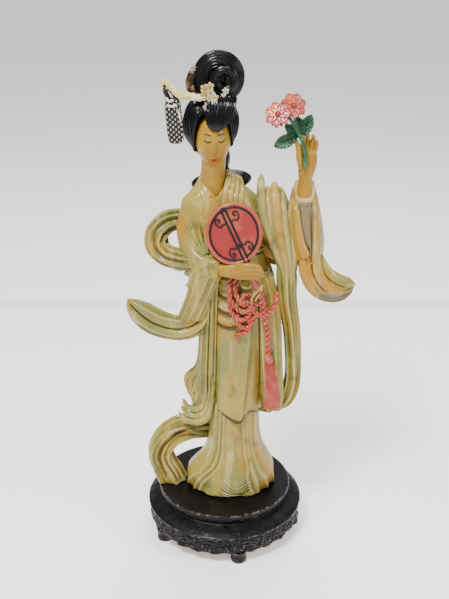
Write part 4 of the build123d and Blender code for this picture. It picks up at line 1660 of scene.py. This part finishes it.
def make_hair():
    around, rings = 420, 300
    theta = np.linspace(0.5, 179.5, rings)[:, None] + np.zeros((1, around))
    phi = np.linspace(0, 360, around, endpoint=False)[None, :] + np.zeros((rings, 1))
    t, p = np.radians(theta), np.radians(phi)
    d = np.stack([np.sin(t) * np.cos(p), np.sin(t) * np.sin(p), np.cos(t)], axis=-1)
    size = HAIR_SIZE * np.array((1.12, 1.0, 1.0))
    base = d * size
    x, y, z = np.moveaxis(base, -1, 0)
    z = np.where(z < 0, 1.28 * z, z)
    gathered = 1 - 0.20 * step(-z, 4, 20)
    x = (x - 0.8) * gathered - 0.2
    strand = 0.28 * np.cos(46 * p + 1.2 * np.sin(3 * p)) + 0.16 * np.cos(83 * p + 1)
    wave = 0.5 * np.cos(5 * p + t * 5)
    out = strand * np.sin(t) ** 0.4 + 0.5 * wave * np.sin(t)
    px, pz = x + HAIR_CENTRE[0], z + HAIR_CENTRE[2]
    across = np.abs((px + 6.3) / (9.5 - 0.05 * np.clip(250 - pz, 0, 20)))
    opening = (across**3.2 + np.abs((pz - 250.5) / 18.6) ** 3.2) ** (1 / 3.2)
    front = step(-y, 0.5, 3.0)
    rim = np.exp(-(((opening - 1.07) / 0.07) ** 2))
    inside = (1 - step(opening, 0.93, 1.02)) * front
    out = out * (1 - inside) + 0.9 * rim * front
    under = step(-pz, -243.0, -238.0) * step(-y, -4, 4)
    points = np.stack([x, y, z], axis=-1) + d * out[..., None]
    points[..., 1] += inside * 9.0 + under * 5.0
    cap = close_ends(points + np.array((HAIR_CENTRE)))
    piece = joined("hair", [cap], hair_material, cavity=8)
    place(piece, "hair", "hair_cap")

    lock = (
        (-2.0, -10.5, 277.0, 8.4, 2.0),
        (-2.4, -13.4, 273.5, 8.2, 3.4),
        (-3.2, -15.4, 269.0, 6.8, 3.6),
        (-4.0, -16.8, 265.0, 5.9, 3.3),
        (-4.4, -17.2, 261.8, 4.4, 2.6),
        (-4.6, -17.0, 259.9, 2.0, 1.2),
    )

    def folds(u, a):
        return (0.24 * np.cos(np.radians(26 * a)) + 0.15 * np.cos(np.radians(47 * a) + 2 * u)) * (1 - u**4)

    place(loft("brow_lock", lock, hair_material, folds, cavity=4, rings=90, around=220), "hair", "forelock")

    spiral = []
    for i in range(30):
        share = i / 29
        angle = math.radians(-52 + 470 * share)
        reach = 8.2 - 4.7 * max(0.0, share - 0.62) / 0.38
        middle = (-3.2 + 3.2 * share**3, 285.8 - 1.2 * share**3)
        thick = 5.4 - 1.8 * step(share, 0.5, 0.8) - 0.6 * step(share, 0.85, 1.0)
        x, z = middle[0] + reach * math.cos(angle), middle[1] + reach * math.sin(angle)
        spiral.append((x, -2.5 - 4.2 * step(share, 0.45, 0.9), z, thick, thick * 1.05, 0))

    def grooves(u, a):
        return 0.24 * np.cos(np.radians(22 * a) + 5 * u) + 0.15 * np.cos(np.radians(41 * a) - 4 * u)

    roll = loft_points(spiral, grooves, across=(0, 1, 0.001), rings=260, around=150)
    back = egg((-3.2, 2.0, 285.4), (12.6, 8.0, 12.6), relief=combed(40, 0.2))
    place(joined("top_bun_roll", [close_ends(roll), back], hair_material, cavity=5), "hair", "top_bun")

    inner = []
    for i in range(17):
        angle = math.radians(200 - 400 * i / 16)
        reach = 5.9 - 1.6 * i / 16
        inner.append(
            (
                0.4 + reach * math.cos(angle),
                -8.6 - 0.05 * i,
                285.0 + reach * math.sin(angle),
                2.4 - 0.05 * i,
                2.2 - 0.04 * i,
            )
        )

    def fine(u, a):
        return 0.13 * np.cos(np.radians(12 * a) + 6 * u)

    coil = close_ends(loft_points(inner, fine, across=(0, 1, 0.001), rings=160, around=90))
    place(joined("inner_coil", [coil], hair_material, cavity=4), "hair", "bun_coil")

    side_roll = (
        (-15.0, -2.5, 291.5, 1.6, 2.0),
        (-17.0, -3.5, 287.0, 2.6, 3.0),
        (-18.2, -4.5, 282.0, 2.6, 3.0),
        (-16.4, -5.5, 278.0, 2.2, 2.6),
        (-12.0, -6.0, 275.6, 2.0, 2.2),
    )
    place(loft("side_roll", side_roll, brown_hair_material, grooves, cavity=4, rings=70, around=60), "hair")

    def rolled(theta, phi):
        return 0.2 * np.cos(np.radians(24 * phi)) * np.sin(np.radians(theta))

    wide = egg((-1.8, 10.0, 225.6), (6.2, 6.4, 17.4), relief=rolled, rings=110, tip=83)
    tie = tube(
        ((-1.8, 3.9, 235.0), (-1.8, 2.6, 229.0), (-1.8, 5.0, 223.4), (-1.8, 12.0, 222.4)),
        1.5,
        16,
        count=40,
    )
    link = egg((-4.0, 6.5, 240.0), (7.0, 5.0, 10.0), relief=combed(34, 0.18), tip=0)
    place(joined("nape_knot", [wide, tie, link], hair_material, cavity=4), "hair", "nape_bun")


def rosette(centre, radius, petals=5, lean=0.0):
    """A tiny flower of round beads, facing the front."""
    parts = [egg(centre, (radius * 0.34,) * 3, 8, 10)]
    for i in range(petals):
        angle = math.radians(360 / petals * i + lean)
        x, z = centre[0] + radius * 0.62 * math.cos(angle), centre[2] + radius * 0.62 * math.sin(angle)
        parts.append(egg((x, centre[1] + 0.25, z), (radius * 0.40, radius * 0.30, radius * 0.40), 10, 12))
    return parts


def make_hair_ornaments():
    bar = (
        (-8.0, -13.0, 277.8),
        (-13.0, -13.4, 276.8),
        (-19.0, -13.2, 277.5),
        (-23.8, -12.4, 278.2),
        (-27.2, -11.8, 280.8),
        (-29.6, -11.4, 283.4),
        (-31.4, -11.2, 284.6),
        (-32.6, -11.2, 283.2),
        (-32.2, -11.4, 281.4),
        (-31.0, -11.6, 281.0),
        (-30.4, -11.9, 282.2),
    )
    rod = smooth(np.array([(*p, 1.75) for p in bar]), 140)
    rod[:, 3] *= np.interp(np.linspace(0, 1, 140), (0, 0.25, 0.55, 0.75, 1), (1.0, 1.15, 0.95, 0.62, 0.42))
    rod = np.column_stack([rod, rod[:, 3]])

    def knobs(u, a):
        return 0.16 * np.cos(u * 120) + 0.12 * np.cos(np.radians(5 * a) + u * 46)

    pin = close_ends(loft_points(rod, knobs, across=(0, 1, 0), rings=260, around=36))
    beads = [
        egg((-15.5 - 0.9 * i, -14.6 + 0.05 * i, 276.3 + 0.12 * i), (0.55, 0.5, 0.6), 8, 10) for i in range(9)
    ]
    place(joined("pin_bar", [pin] + beads, pin_material, cavity=4), "pin", "hairpin")

    cream = (
        (-10.4, -14.2, 281.4, 2.5),
        (-7.6, -14.6, 282.6, 2.3),
        (-10.2, -15.0, 278.8, 2.4),
        (-7.2, -15.6, 279.4, 2.3),
        (-5.0, -15.6, 277.0, 2.1),
        (-8.0, -15.8, 276.8, 2.0),
    )
    silver = (
        (-5.4, -16.4, 274.8, 2.0),
        (-9.4, -15.4, 272.0, 2.1),
        (-7.6, -16.6, 269.4, 2.0),
        (0.6, -12.6, 280.0, 1.9),
        (-0.6, -13.4, 277.0, 1.9),
        (2.4, -13.0, 275.6, 1.8),
        (4.6, -12.0, 273.4, 1.6),
    )
    parts = [part for i, (x, y, z, r) in enumerate(cream) for part in rosette((x, y, z), r, lean=23 * i)]
    place(joined("cream_blossoms", parts, pin_material, cavity=3), "pin", "hair_blossoms")
    parts = [part for i, (x, y, z, r) in enumerate(silver) for part in rosette((x, y, z), r, lean=31 * i)]
    for i in range(6):
        angle = math.radians(-50 + 22 * i)
        tip = (8.4 + 2.6 * math.cos(angle), -9.4, 270.6 + 2.6 * math.sin(angle))
        parts.append(tube(((5.4, -11.2, 271.8), (7.6, -10.4, 271.0), tip), 0.5, 8, taper=((0, 1), (1, 0.3))))
    place(joined("silver_blossoms", parts, silver_material, cavity=3), "pin")


def make_pendant():
    """A rounded lattice panel of black cord and white knots, hung from the pin's tip."""
    turn = math.radians(-4)
    size_x, size_z = 4.4, 12.2

    def at(x, y, z):
        return (
            -26.9 + x * math.cos(turn) + z * math.sin(turn),
            -10.6 + y - 0.12 * x,
            264.0 + z * math.cos(turn) - x * math.sin(turn),
        )

    outline = []
    for i in range(64):
        angle = 2 * math.pi * i / 64
        c, s = math.cos(angle), math.sin(angle)
        outline.append((size_x * math.copysign(abs(c) ** 0.45, c), size_z * math.copysign(abs(s) ** 0.45, s)))
    rows = []
    for reach, y in ((0.86, -1.9), (0.96, -1.7), (1.0, -1.1), (1.0, 1.1), (0.96, 1.7), (0.86, 1.9)):
        rows.append([at(x * reach, y, z * reach) for x, z in outline])
    plate = close_ends(np.array(rows))
    strap = tube(((-31.6, -11.4, 283.0), (-31.2, -11.4, 279.6), (-29.6, -11.0, 276.0)), 1.3, 14)
    second = tube(((-30.4, -11.4, 282.0), (-28.0, -11.2, 279.2), (-25.4, -10.8, 275.4)), 0.9, 12)
    place(joined("pendant_plate", [plate, strap, second], ink_material, cavity=3), "lattice", "hair_pendant")
    knots = []
    for row in range(17):
        for column in range(6):
            if (row + column) % 2:
                continue
            x = -3.6 + 1.44 * column
            z = -11.2 + 1.36 * row
            if math.hypot(max(abs(x) - 2.2, 0), max(abs(z) - 9.8, 0)) > 1.8:
                continue
            for y in (-2.0, 2.0):
                knots.append(egg(at(x, y, z), (0.62, 0.35, 0.58), 7, 8))
    for row in range(8):
        knots.append(egg(at(4.1, -1.5, -9.5 + 2.5 * row), (0.5, 0.6, 0.8), 7, 8))
    ribbon_bits = (
        ((-30.8, -12.0, 276.6), (-29.4, -12.8, 274.8), (-27.0, -12.8, 275.4)),
        ((-30.6, -12.2, 272.6), (-28.0, -12.9, 272.0), (-25.2, -12.8, 272.8)),
        ((-25.6, -12.2, 272.0), (-24.0, -12.8, 268.0), (-23.2, -12.6, 263.6)),
    )
    for route in ribbon_bits:
        knots.append(tube(route, 0.7, 10, flat=0.5))
    place(joined("pendant_knots", knots, silver_material, cavity=3), "lattice")


# ======================================================================================
# Hands
# ======================================================================================
def finger(path, thick, thin):
    """A finger with soft knuckles, tapering to a rounded tip."""
    taper = (
        (0, 1.0),
        (0.30, 0.96),
        (0.38, 1.0),
        (0.62, 0.80),
        (0.70, 0.83),
        (0.90, 0.62),
        (0.97, 0.48),
        (1, 0.15),
    )
    return tube(path, thick, 20, taper=taper, count=40, flat=thin)


def make_hands():
    palm = (
        (-8.0, -21.4, 183.6, 3.9, 3.8),
        (-2.0, -23.4, 183.6, 3.9, 3.5),
        (3.0, -25.2, 183.9, 4.4, 3.1),
        (8.0, -26.4, 183.8, 4.9, 2.8),
        (12.0, -26.8, 183.8, 4.3, 2.3),
        (14.0, -26.6, 183.8, 3.2, 1.8),
    )
    parts = [close_ends(loft_points(palm, across=(0, 0, 1), rings=60, around=60))]
    for i in range(4):
        z = 187.4 - 2.25 * i
        reach = (19.6, 20.8, 20.6, 19.0)[i]
        route = (
            (7.0, -26.6, z - 0.3),
            (12.0, -28.4, z + 0.5 - 0.1 * i),
            (17.0, -28.4, z + 0.4 - 0.2 * i),
            (reach, -26.6, z - 1.4 - 0.1 * i),
            (reach - 1.0, -23.6, z - 2.4),
        )
        parts.append(finger(route, 1.5, 1.0))
    thumb = ((4.0, -26.0, 186.0), (7.0, -26.4, 188.2), (10.0, -25.6, 189.4), (13.0, -24.6, 189.8))
    parts.append(finger(thumb, 1.6, 1.0))
    piece = joined("fan_hand", parts, skin_material)
    place(remeshed(piece, 0.24, 3, cavity=8), "skin", "right_hand")

    palm = (
        (44.4, -8.2, 212.0, 5.8, 5.4),
        (44.4, -8.4, 221.0, 4.8, 4.6),
        (44.5, -8.6, 227.0, 4.2, 4.0),
        (44.6, -9.0, 231.5, 3.7, 3.4),
        (45.0, -9.4, 236.0, 4.6, 3.0),
        (45.6, -9.6, 241.0, 5.0, 2.7),
        (45.8, -9.6, 245.4, 4.6, 2.3),
        (45.8, -9.4, 248.0, 3.6, 1.8),
    )
    parts = [close_ends(loft_points(palm, level=True, rings=70, around=60))]
    fingers = (
        ((43.0, -9.6, 244.6), (42.4, -9.4, 249.6), (42.6, -11.2, 254.0), (41.8, -13.2, 257.0)),
        ((44.8, -9.2, 245.4), (44.8, -8.4, 251.0), (45.0, -9.4, 256.0), (44.4, -12.4, 259.0)),
        ((46.8, -9.0, 245.4), (47.4, -8.4, 250.4), (48.0, -10.0, 254.8), (47.2, -12.6, 257.0)),
        ((48.4, -9.0, 244.0), (49.4, -8.8, 248.4), (49.8, -10.6, 252.4), (48.6, -13.0, 254.4)),
    )
    for route in fingers:
        parts.append(finger(route, 1.42, 1.0))
    thumb = ((42.4, -10.6, 238.0), (40.8, -12.4, 243.6), (40.0, -13.4, 249.0), (38.4, -13.6, 254.8))
    parts.append(finger(thumb, 1.9, 1.0))
    piece = joined("flower_hand", parts, skin_material)
    place(remeshed(piece, 0.24, 3, cavity=8), "skin", "left_hand")


# ======================================================================================
# Fan
# ======================================================================================
FAN_CENTRE = np.array((5.2, -22.5, 204.4))
FAN_HALF = (15.4, 17.0)
FAN_FACE = -1.3  # the drawn face, in front of the fan's middle plane
FAN_LEAN = math.radians(12)


def on_fan(x, z, y=FAN_FACE):
    """A point of the fan from its own x and z, turned with the way the fan leans back."""
    return (
        FAN_CENTRE[0] + x,
        FAN_CENTRE[1] + y * math.cos(FAN_LEAN) + z * math.sin(FAN_LEAN),
        FAN_CENTRE[2] + z * math.cos(FAN_LEAN) - y * math.sin(FAN_LEAN),
    )


def ink_line(points, radius=0.24, y=FAN_FACE):
    return tube([on_fan(x, z, y) for x, z in points], radius, 8, count=len(points) * 8, flat=0.8)


BAR_LEAN = math.radians(-25)


def beside_bar(t, side):
    """A place on the fan t along its drawn bar and side away from it."""
    lean_sin, lean_cos = math.sin(BAR_LEAN), math.cos(BAR_LEAN)
    return (t * lean_sin + side * lean_cos, t * lean_cos - side * lean_sin)


def bracket(at, way, side):
    """A curled cloud bracket that springs from the bar: way is 1 up or -1 down, side is -1 or 1."""
    stroke = (
        (0.0, 1.0),
        (0.6, 3.4),
        (-0.4, 4.6),
        (0.8, 6.2),
        (2.6, 6.8),
        (4.2, 6.2),
        (4.6, 4.8),
        (3.6, 4.0),
        (2.6, 4.6),
        (3.0, 5.4),
    )
    return ink_line([beside_bar(at + way * a, side * b) for a, b in stroke], 0.42)


def make_fan():
    rings = (
        (0.02, 1.2),
        (0.90, 1.2),
        (0.99, 1.0),
        (1.0, 0.3),
        (0.99, -0.8),
        (0.93, -1.3),
        (0.88, -1.0),
        (0.85, -0.95),
        (0.02, -1.05),
    )
    rows = []
    for reach, y in rings:
        ring = np.linspace(0, 2 * np.pi, 160, endpoint=False)
        wide, tall = FAN_HALF[0] * reach, FAN_HALF[1] * reach
        rows.append([on_fan(wide * math.cos(a), tall * math.sin(a), y) for a in ring])
    place(joined("fan_face", [close_ends(np.array(rows))], fan_material, cavity=3), "fan", "fan_disc")
    ring = np.linspace(0, 2 * np.pi, 49)
    rim = [on_fan(FAN_HALF[0] * 0.955 * math.cos(a), FAN_HALF[1] * 0.955 * math.sin(a), -0.9) for a in ring]
    place(joined("fan_rim", [tube(rim, 0.95, 14, count=200)], rim_material, cavity=3), "fan")

    circle = [(FAN_HALF[0] * 0.85 * math.cos(a), FAN_HALF[1] * 0.86 * math.sin(a)) for a in ring]
    lines = [ink_line(circle, 0.58, -1.0)]
    for side in (-1.15, 1.15):
        lines.append(ink_line([beside_bar(t, side) for t in (-17.4, -6.0, 5.0, 14.6)], 0.66, -1.35))
    for at in (-7.4, 14.4):
        lines.append(egg(on_fan(*beside_bar(at, 0), -1.4), (1.6, 0.5, 1.6), 12, 20))
    lines += [bracket(6.6, 1, -1), bracket(6.6, 1, 1), bracket(-7.0, -1, -1), bracket(-7.0, -1, 1)]
    for z, half in ((-15.2, 4.2), (-14.0, 3.6)):
        lines.append(ink_line(((-2.4 - half, z + 0.3), (-2.4, z - 0.2), (-2.4 + half, z + 0.2)), 0.28, -1.0))
    place(joined("fan_drawing", lines, ink_material), "fan")

    grip = tube(
        ((12.0, -25.0, 190.4), (14.0, -27.2, 185.4), (16.6, -28.6, 178.4), (17.6, -27.6, 174.6)),
        1.5,
        18,
    )
    slab = [on_fan(*beside_bar(t, 0), -1.05) for t in (-16.6, -6.0, 5.0, 14.8)]
    parts = [tube(slab, 1.25, 16, flat=0.35), grip]
    place(joined("fan_grip", parts, fan_material, cavity=3), "fan", "fan_handle")


# ======================================================================================
# Cords and tassel
# ======================================================================================
def twisted(path, radius, turns_per_mm=0.16):
    """Two strands laid round each other along a path."""
    path = smooth(path, 200)
    length = float(np.sum(np.linalg.norm(np.diff(path, axis=0), axis=1)))
    toward = unit(np.gradient(path, axis=0))
    side = unit(np.cross(toward, np.array((0.0, 1.0, 0.001))))
    up = np.cross(toward, side)
    angle = np.linspace(0, 2 * np.pi * turns_per_mm * length, 200)[:, None]
    strands = []
    for start in (0, math.pi):
        offset = side * np.cos(angle + start) + up * np.sin(angle + start)
        strands.append(tube(path + offset * radius * 0.5, radius * 0.62, 8, count=200))
    return strands


def make_cords():
    loops = (
        (
            (3.4, -20.8, 179.0),
            (2.4, -21.8, 172.0),
            (4.0, -22.4, 164.0),
            (8.4, -23.0, 158.8),
            (13.0, -23.4, 158.4),
            (15.6, -23.4, 162.0),
        ),
        (
            (6.8, -20.8, 179.0),
            (6.0, -21.8, 172.0),
            (7.6, -22.4, 165.6),
            (10.6, -23.0, 162.4),
            (14.4, -23.4, 163.4),
        ),
        (
            (3.0, -21.6, 169.0),
            (3.0, -22.0, 161.0),
            (5.4, -22.4, 155.0),
            (9.4, -22.6, 152.6),
            (13.4, -23.0, 155.0),
            (15.6, -23.2, 159.4),
        ),
        (
            (7.2, -22.0, 156.0),
            (7.4, -22.2, 150.6),
            (11.0, -22.4, 147.6),
            (15.0, -22.6, 149.4),
            (16.6, -23.0, 155.4),
        ),
        (
            (15.8, -23.4, 160.0),
            (20.0, -24.6, 156.4),
            (25.0, -24.0, 157.4),
            (28.6, -21.8, 162.0),
            (29.6, -19.4, 168.6),
        ),
        ((14.0, -22.6, 155.0), (14.4, -22.4, 149.0), (12.4, -22.0, 144.8), (8.0, -21.8, 142.6)),
    )
    parts = [part for route in loops for part in twisted(route, 1.4)]
    for x, z, turn in ((13.0, 166.4, 0), (18.4, 165.4, 40)):
        ring = [
            (
                x + 3.0 * math.cos(math.radians(30 * i + turn)),
                -23.8,
                z + 2.5 * math.sin(math.radians(30 * i + turn)),
            )
            for i in range(13)
        ]
        parts += twisted(ring, 1.25)
    parts.append(egg((15.6, -24.2, 160.6), (2.6, 1.9, 2.3), 20, 24))
    parts.append(egg((7.4, -22.4, 142.6), (1.9, 1.4, 1.7), 16, 20))
    place(joined("bow_cords", parts, cord_material, cavity=4), "cord", "cord_bow")

    bows = (
        ((9.0, -22.4, 177.4), (10.4, -24.2, 174.4), (13.4, -24.6, 173.6), (16.0, -24.4, 176.6)),
        (
            (15.4, -25.6, 163.6),
            (15.6, -26.4, 168.0),
            (18.0, -26.4, 172.0),
            (20.6, -25.8, 174.6),
            (19.8, -25.6, 170.6),
            (17.0, -25.4, 166.0),
        ),
    )
    taper = ((0, 0.6), (0.4, 1.0), (1, 0.7))
    parts = [tube(route, 1.15, 18, taper=taper, count=60, flat=0.7) for route in bows]
    place(joined("sash_tails", parts, ochre_material, cavity=4), "cord")

    drop = (
        (17.0, -26.0, 178.0),
        (20.4, -25.0, 170.0),
        (22.8, -24.0, 157.0),
        (24.8, -22.4, 143.0),
        (25.6, -21.8, 129.0),
    )
    place(joined("tassel_cord", twisted(drop, 1.45), cord_material, cavity=4), "cord", "fan_cord")

    fringe = (
        (28.8, -19.6, 93.4, 3.6, 2.6),
        (28.7, -19.6, 95.0, 4.8, 3.4),
        (28.4, -19.8, 104.0, 4.5, 3.4),
        (27.4, -20.3, 115.0, 3.5, 3.0),
        (26.6, -20.8, 122.5, 2.9, 2.6),
        (26.3, -20.9, 124.0, 2.2, 2.1),
        (26.0, -21.1, 126.5, 2.9, 2.8),
        (25.8, -21.4, 129.4, 2.2, 2.1),
        (25.7, -21.4, 131.0, 1.2, 1.2),
    )

    def threads(u, a):
        low = 1 - step(u, 0.62, 0.66)
        lift = low * (0.30 * np.cos(np.radians(18 * a)) + 0.16 * np.cos(np.radians(37 * a) + 3 * u))
        return lift + 0.8 * np.cos(np.radians(3 * (a + 90))) * (1 - step(u, 0.0, 0.12)) - 0.3

    place(
        loft("tassel_fringe", fringe, cord_material, threads, cavity=4, level=True, rings=120, around=160),
        "cord",
        "tassel",
    )


# ======================================================================================
# Flower
# ======================================================================================
def petal(length, width, turn, lift):
    """A round petal with a long hollow and curled-up rim, pointing out from the eye."""
    s, t = np.meshgrid(np.linspace(-1, 1, 21), np.linspace(0, 1, 24))
    half = width * np.sin(np.pi * np.clip(t * 0.93 + 0.05, 0, 1)) ** 0.55 * (0.62 + 0.38 * t)
    x = length * t + 0.25 * np.cos(s * 3.1) * t
    y = half * s
    z = lift + 1.1 * s**2 * t - 0.9 * t**2 + 0.18 * np.cos(s * 14) * t + 0.5 * t
    z = z - 0.45 * np.exp(-((s / 0.12) ** 2)) * (1 - t)
    c, k = math.cos(turn), math.sin(turn)
    top = np.stack([x * c - y * k, x * k + y * c, z], axis=-1)
    under = top - np.array((0, 0, 1.0))
    rows = np.concatenate([top, under[:, ::-1]], axis=1)
    return close_ends(rows)


def make_blossom(name, node, centre, tilt, spin, petals):
    parts, tints = [], []
    for i in range(petals):
        turn = 2 * math.pi * i / petals + 0.2
        parts.append(petal(7.0, 3.2, turn, 0.9))
        tints.append(1.0 if i in (2, 3) else 0.0)
    for i in range(petals):
        turn = 2 * math.pi * (i + 0.5) / petals + 0.2
        parts.append(petal(6.0, 2.6, turn, -0.4))
        tints.append(0.4 if i % 3 == 0 else 0.0)
    for i in range(9):
        angle = 2 * math.pi * i / 9
        parts.append(egg((1.25 * math.cos(angle), 1.25 * math.sin(angle), 1.5), (0.5, 0.5, 0.5), 8, 8))
        tints.append(0.0)
    parts.append(egg((0, 0, 1.4), (0.9, 0.9, 0.8), 10, 12))
    tints.append(0.0)
    parts.append(tube(((0, 0, 0.6), (0, 0, -2.2), (0.4, -0.5, -4.4)), 2.0, 16, taper=((0, 1.5), (1, 0.5))))
    tints.append(0.0)
    tilt, spin = math.radians(tilt), math.radians(spin)
    placed, shade = [], []
    for (points, faces), tint in zip(parts, tints):
        x, y, z = np.moveaxis(np.asarray(points, float), -1, 0)
        y, z = y * math.cos(tilt) - z * math.sin(tilt), y * math.sin(tilt) + z * math.cos(tilt)
        x, y = x * math.cos(spin) - y * math.sin(spin), x * math.sin(spin) + y * math.cos(spin)
        placed.append((np.stack([x, y, z], axis=-1) + np.array(centre), faces))
        shade += [tint] * len(points)
    piece = joined(name, placed, petal_material, cavity=3)
    stain(piece, "orange", np.array(shade))
    place(piece, "petals", node)


def leaf(root, tip, half, face, teeth, curl=1.0):
    """A serrated leaf with a sunk middle vein and raised side veins; face is its upper side's normal."""
    root, tip = np.array(root, float), np.array(tip, float)
    length = np.linalg.norm(tip - root)
    along = (tip - root) / length
    side = unit(np.cross(along, np.array(face, float)))
    up = np.cross(side, along)
    s, t = np.meshgrid(np.linspace(-1, 1, 41), np.linspace(0, 1, 70))
    edge = 1 + 0.10 * np.abs(((t * teeth) % 1.0) - 0.5) * 2 * np.abs(s) ** 3
    width = half * np.sin(np.pi * np.clip(t, 0.02, 0.985)) ** 0.6 * edge
    rise = 0.8 * np.abs(s) ** 0.8 * np.sin(np.pi * t) * curl
    rise = rise + 0.22 * np.cos((t * 7 - np.abs(s) * 2.2) * 2 * np.pi) * (np.abs(s) > 0.08)
    rise = rise + 0.5 * np.exp(-((s / 0.07) ** 2)) - 1.6 * (t - 0.5) ** 2 * curl
    top = root + along * (length * t)[..., None] + side * (width * s)[..., None] + up * rise[..., None]
    under = top - up * 1.1
    return close_ends(np.concatenate([top, under[:, ::-1]], axis=1))


def make_flower():
    make_blossom("near_blossom", "front_blossom", (28.2, -18.4, 268.6), 58, -16, 7)
    make_blossom("far_blossom", "back_blossom", (36.2, -15.0, 272.6), 60, 12, 7)
    large = [
        leaf((40.6, -13.4, 255.6), (47.0, -9.4, 267.0), 3.4, (0.1, -1, 0.25), 7),
        leaf((40.4, -13.4, 255.4), (39.0, -12.4, 266.6), 3.4, (0, -1, 0.2), 7),
        leaf((40.2, -13.4, 255.8), (32.6, -13.4, 262.4), 2.8, (0, -1, 0.3), 6),
    ]
    place(joined("leaf_spray", large, leaf_material, cavity=3), "leaves", "large_leaf")
    small = [leaf((39.0, -14.4, 256.4), (26.6, -15.8, 251.4), 3.5, (0.1, -1, 0.5), 9)]
    place(joined("low_leaf", small, leaf_material, cavity=3), "leaves", "small_leaf")
    stem = (
        (43.2, -13.6, 238.6),
        (43.8, -14.2, 244.0),
        (43.0, -14.4, 250.0),
        (40.8, -14.2, 255.6),
        (37.0, -13.8, 262.6),
        (33.6, -14.0, 267.2),
    )
    stalk = tube(stem, 1.0, 14, taper=((0, 0.8), (0.1, 1.0), (0.6, 1.1), (1, 0.9)))
    fork = tube(((40.8, -14.2, 255.6), (38.4, -14.0, 262.6), (36.6, -14.2, 269.0)), 0.9, 12)
    place(joined("stalk", [stalk, fork], leaf_material, cavity=3), "leaves", "flower_stem")


make_stand()
make_robe_body()
make_panels()
make_collar()
make_sleeves()
make_stole()
make_head()
make_hair()
make_hair_ornaments()
make_pendant()
make_hands()
make_fan()
make_cords()
make_flower()
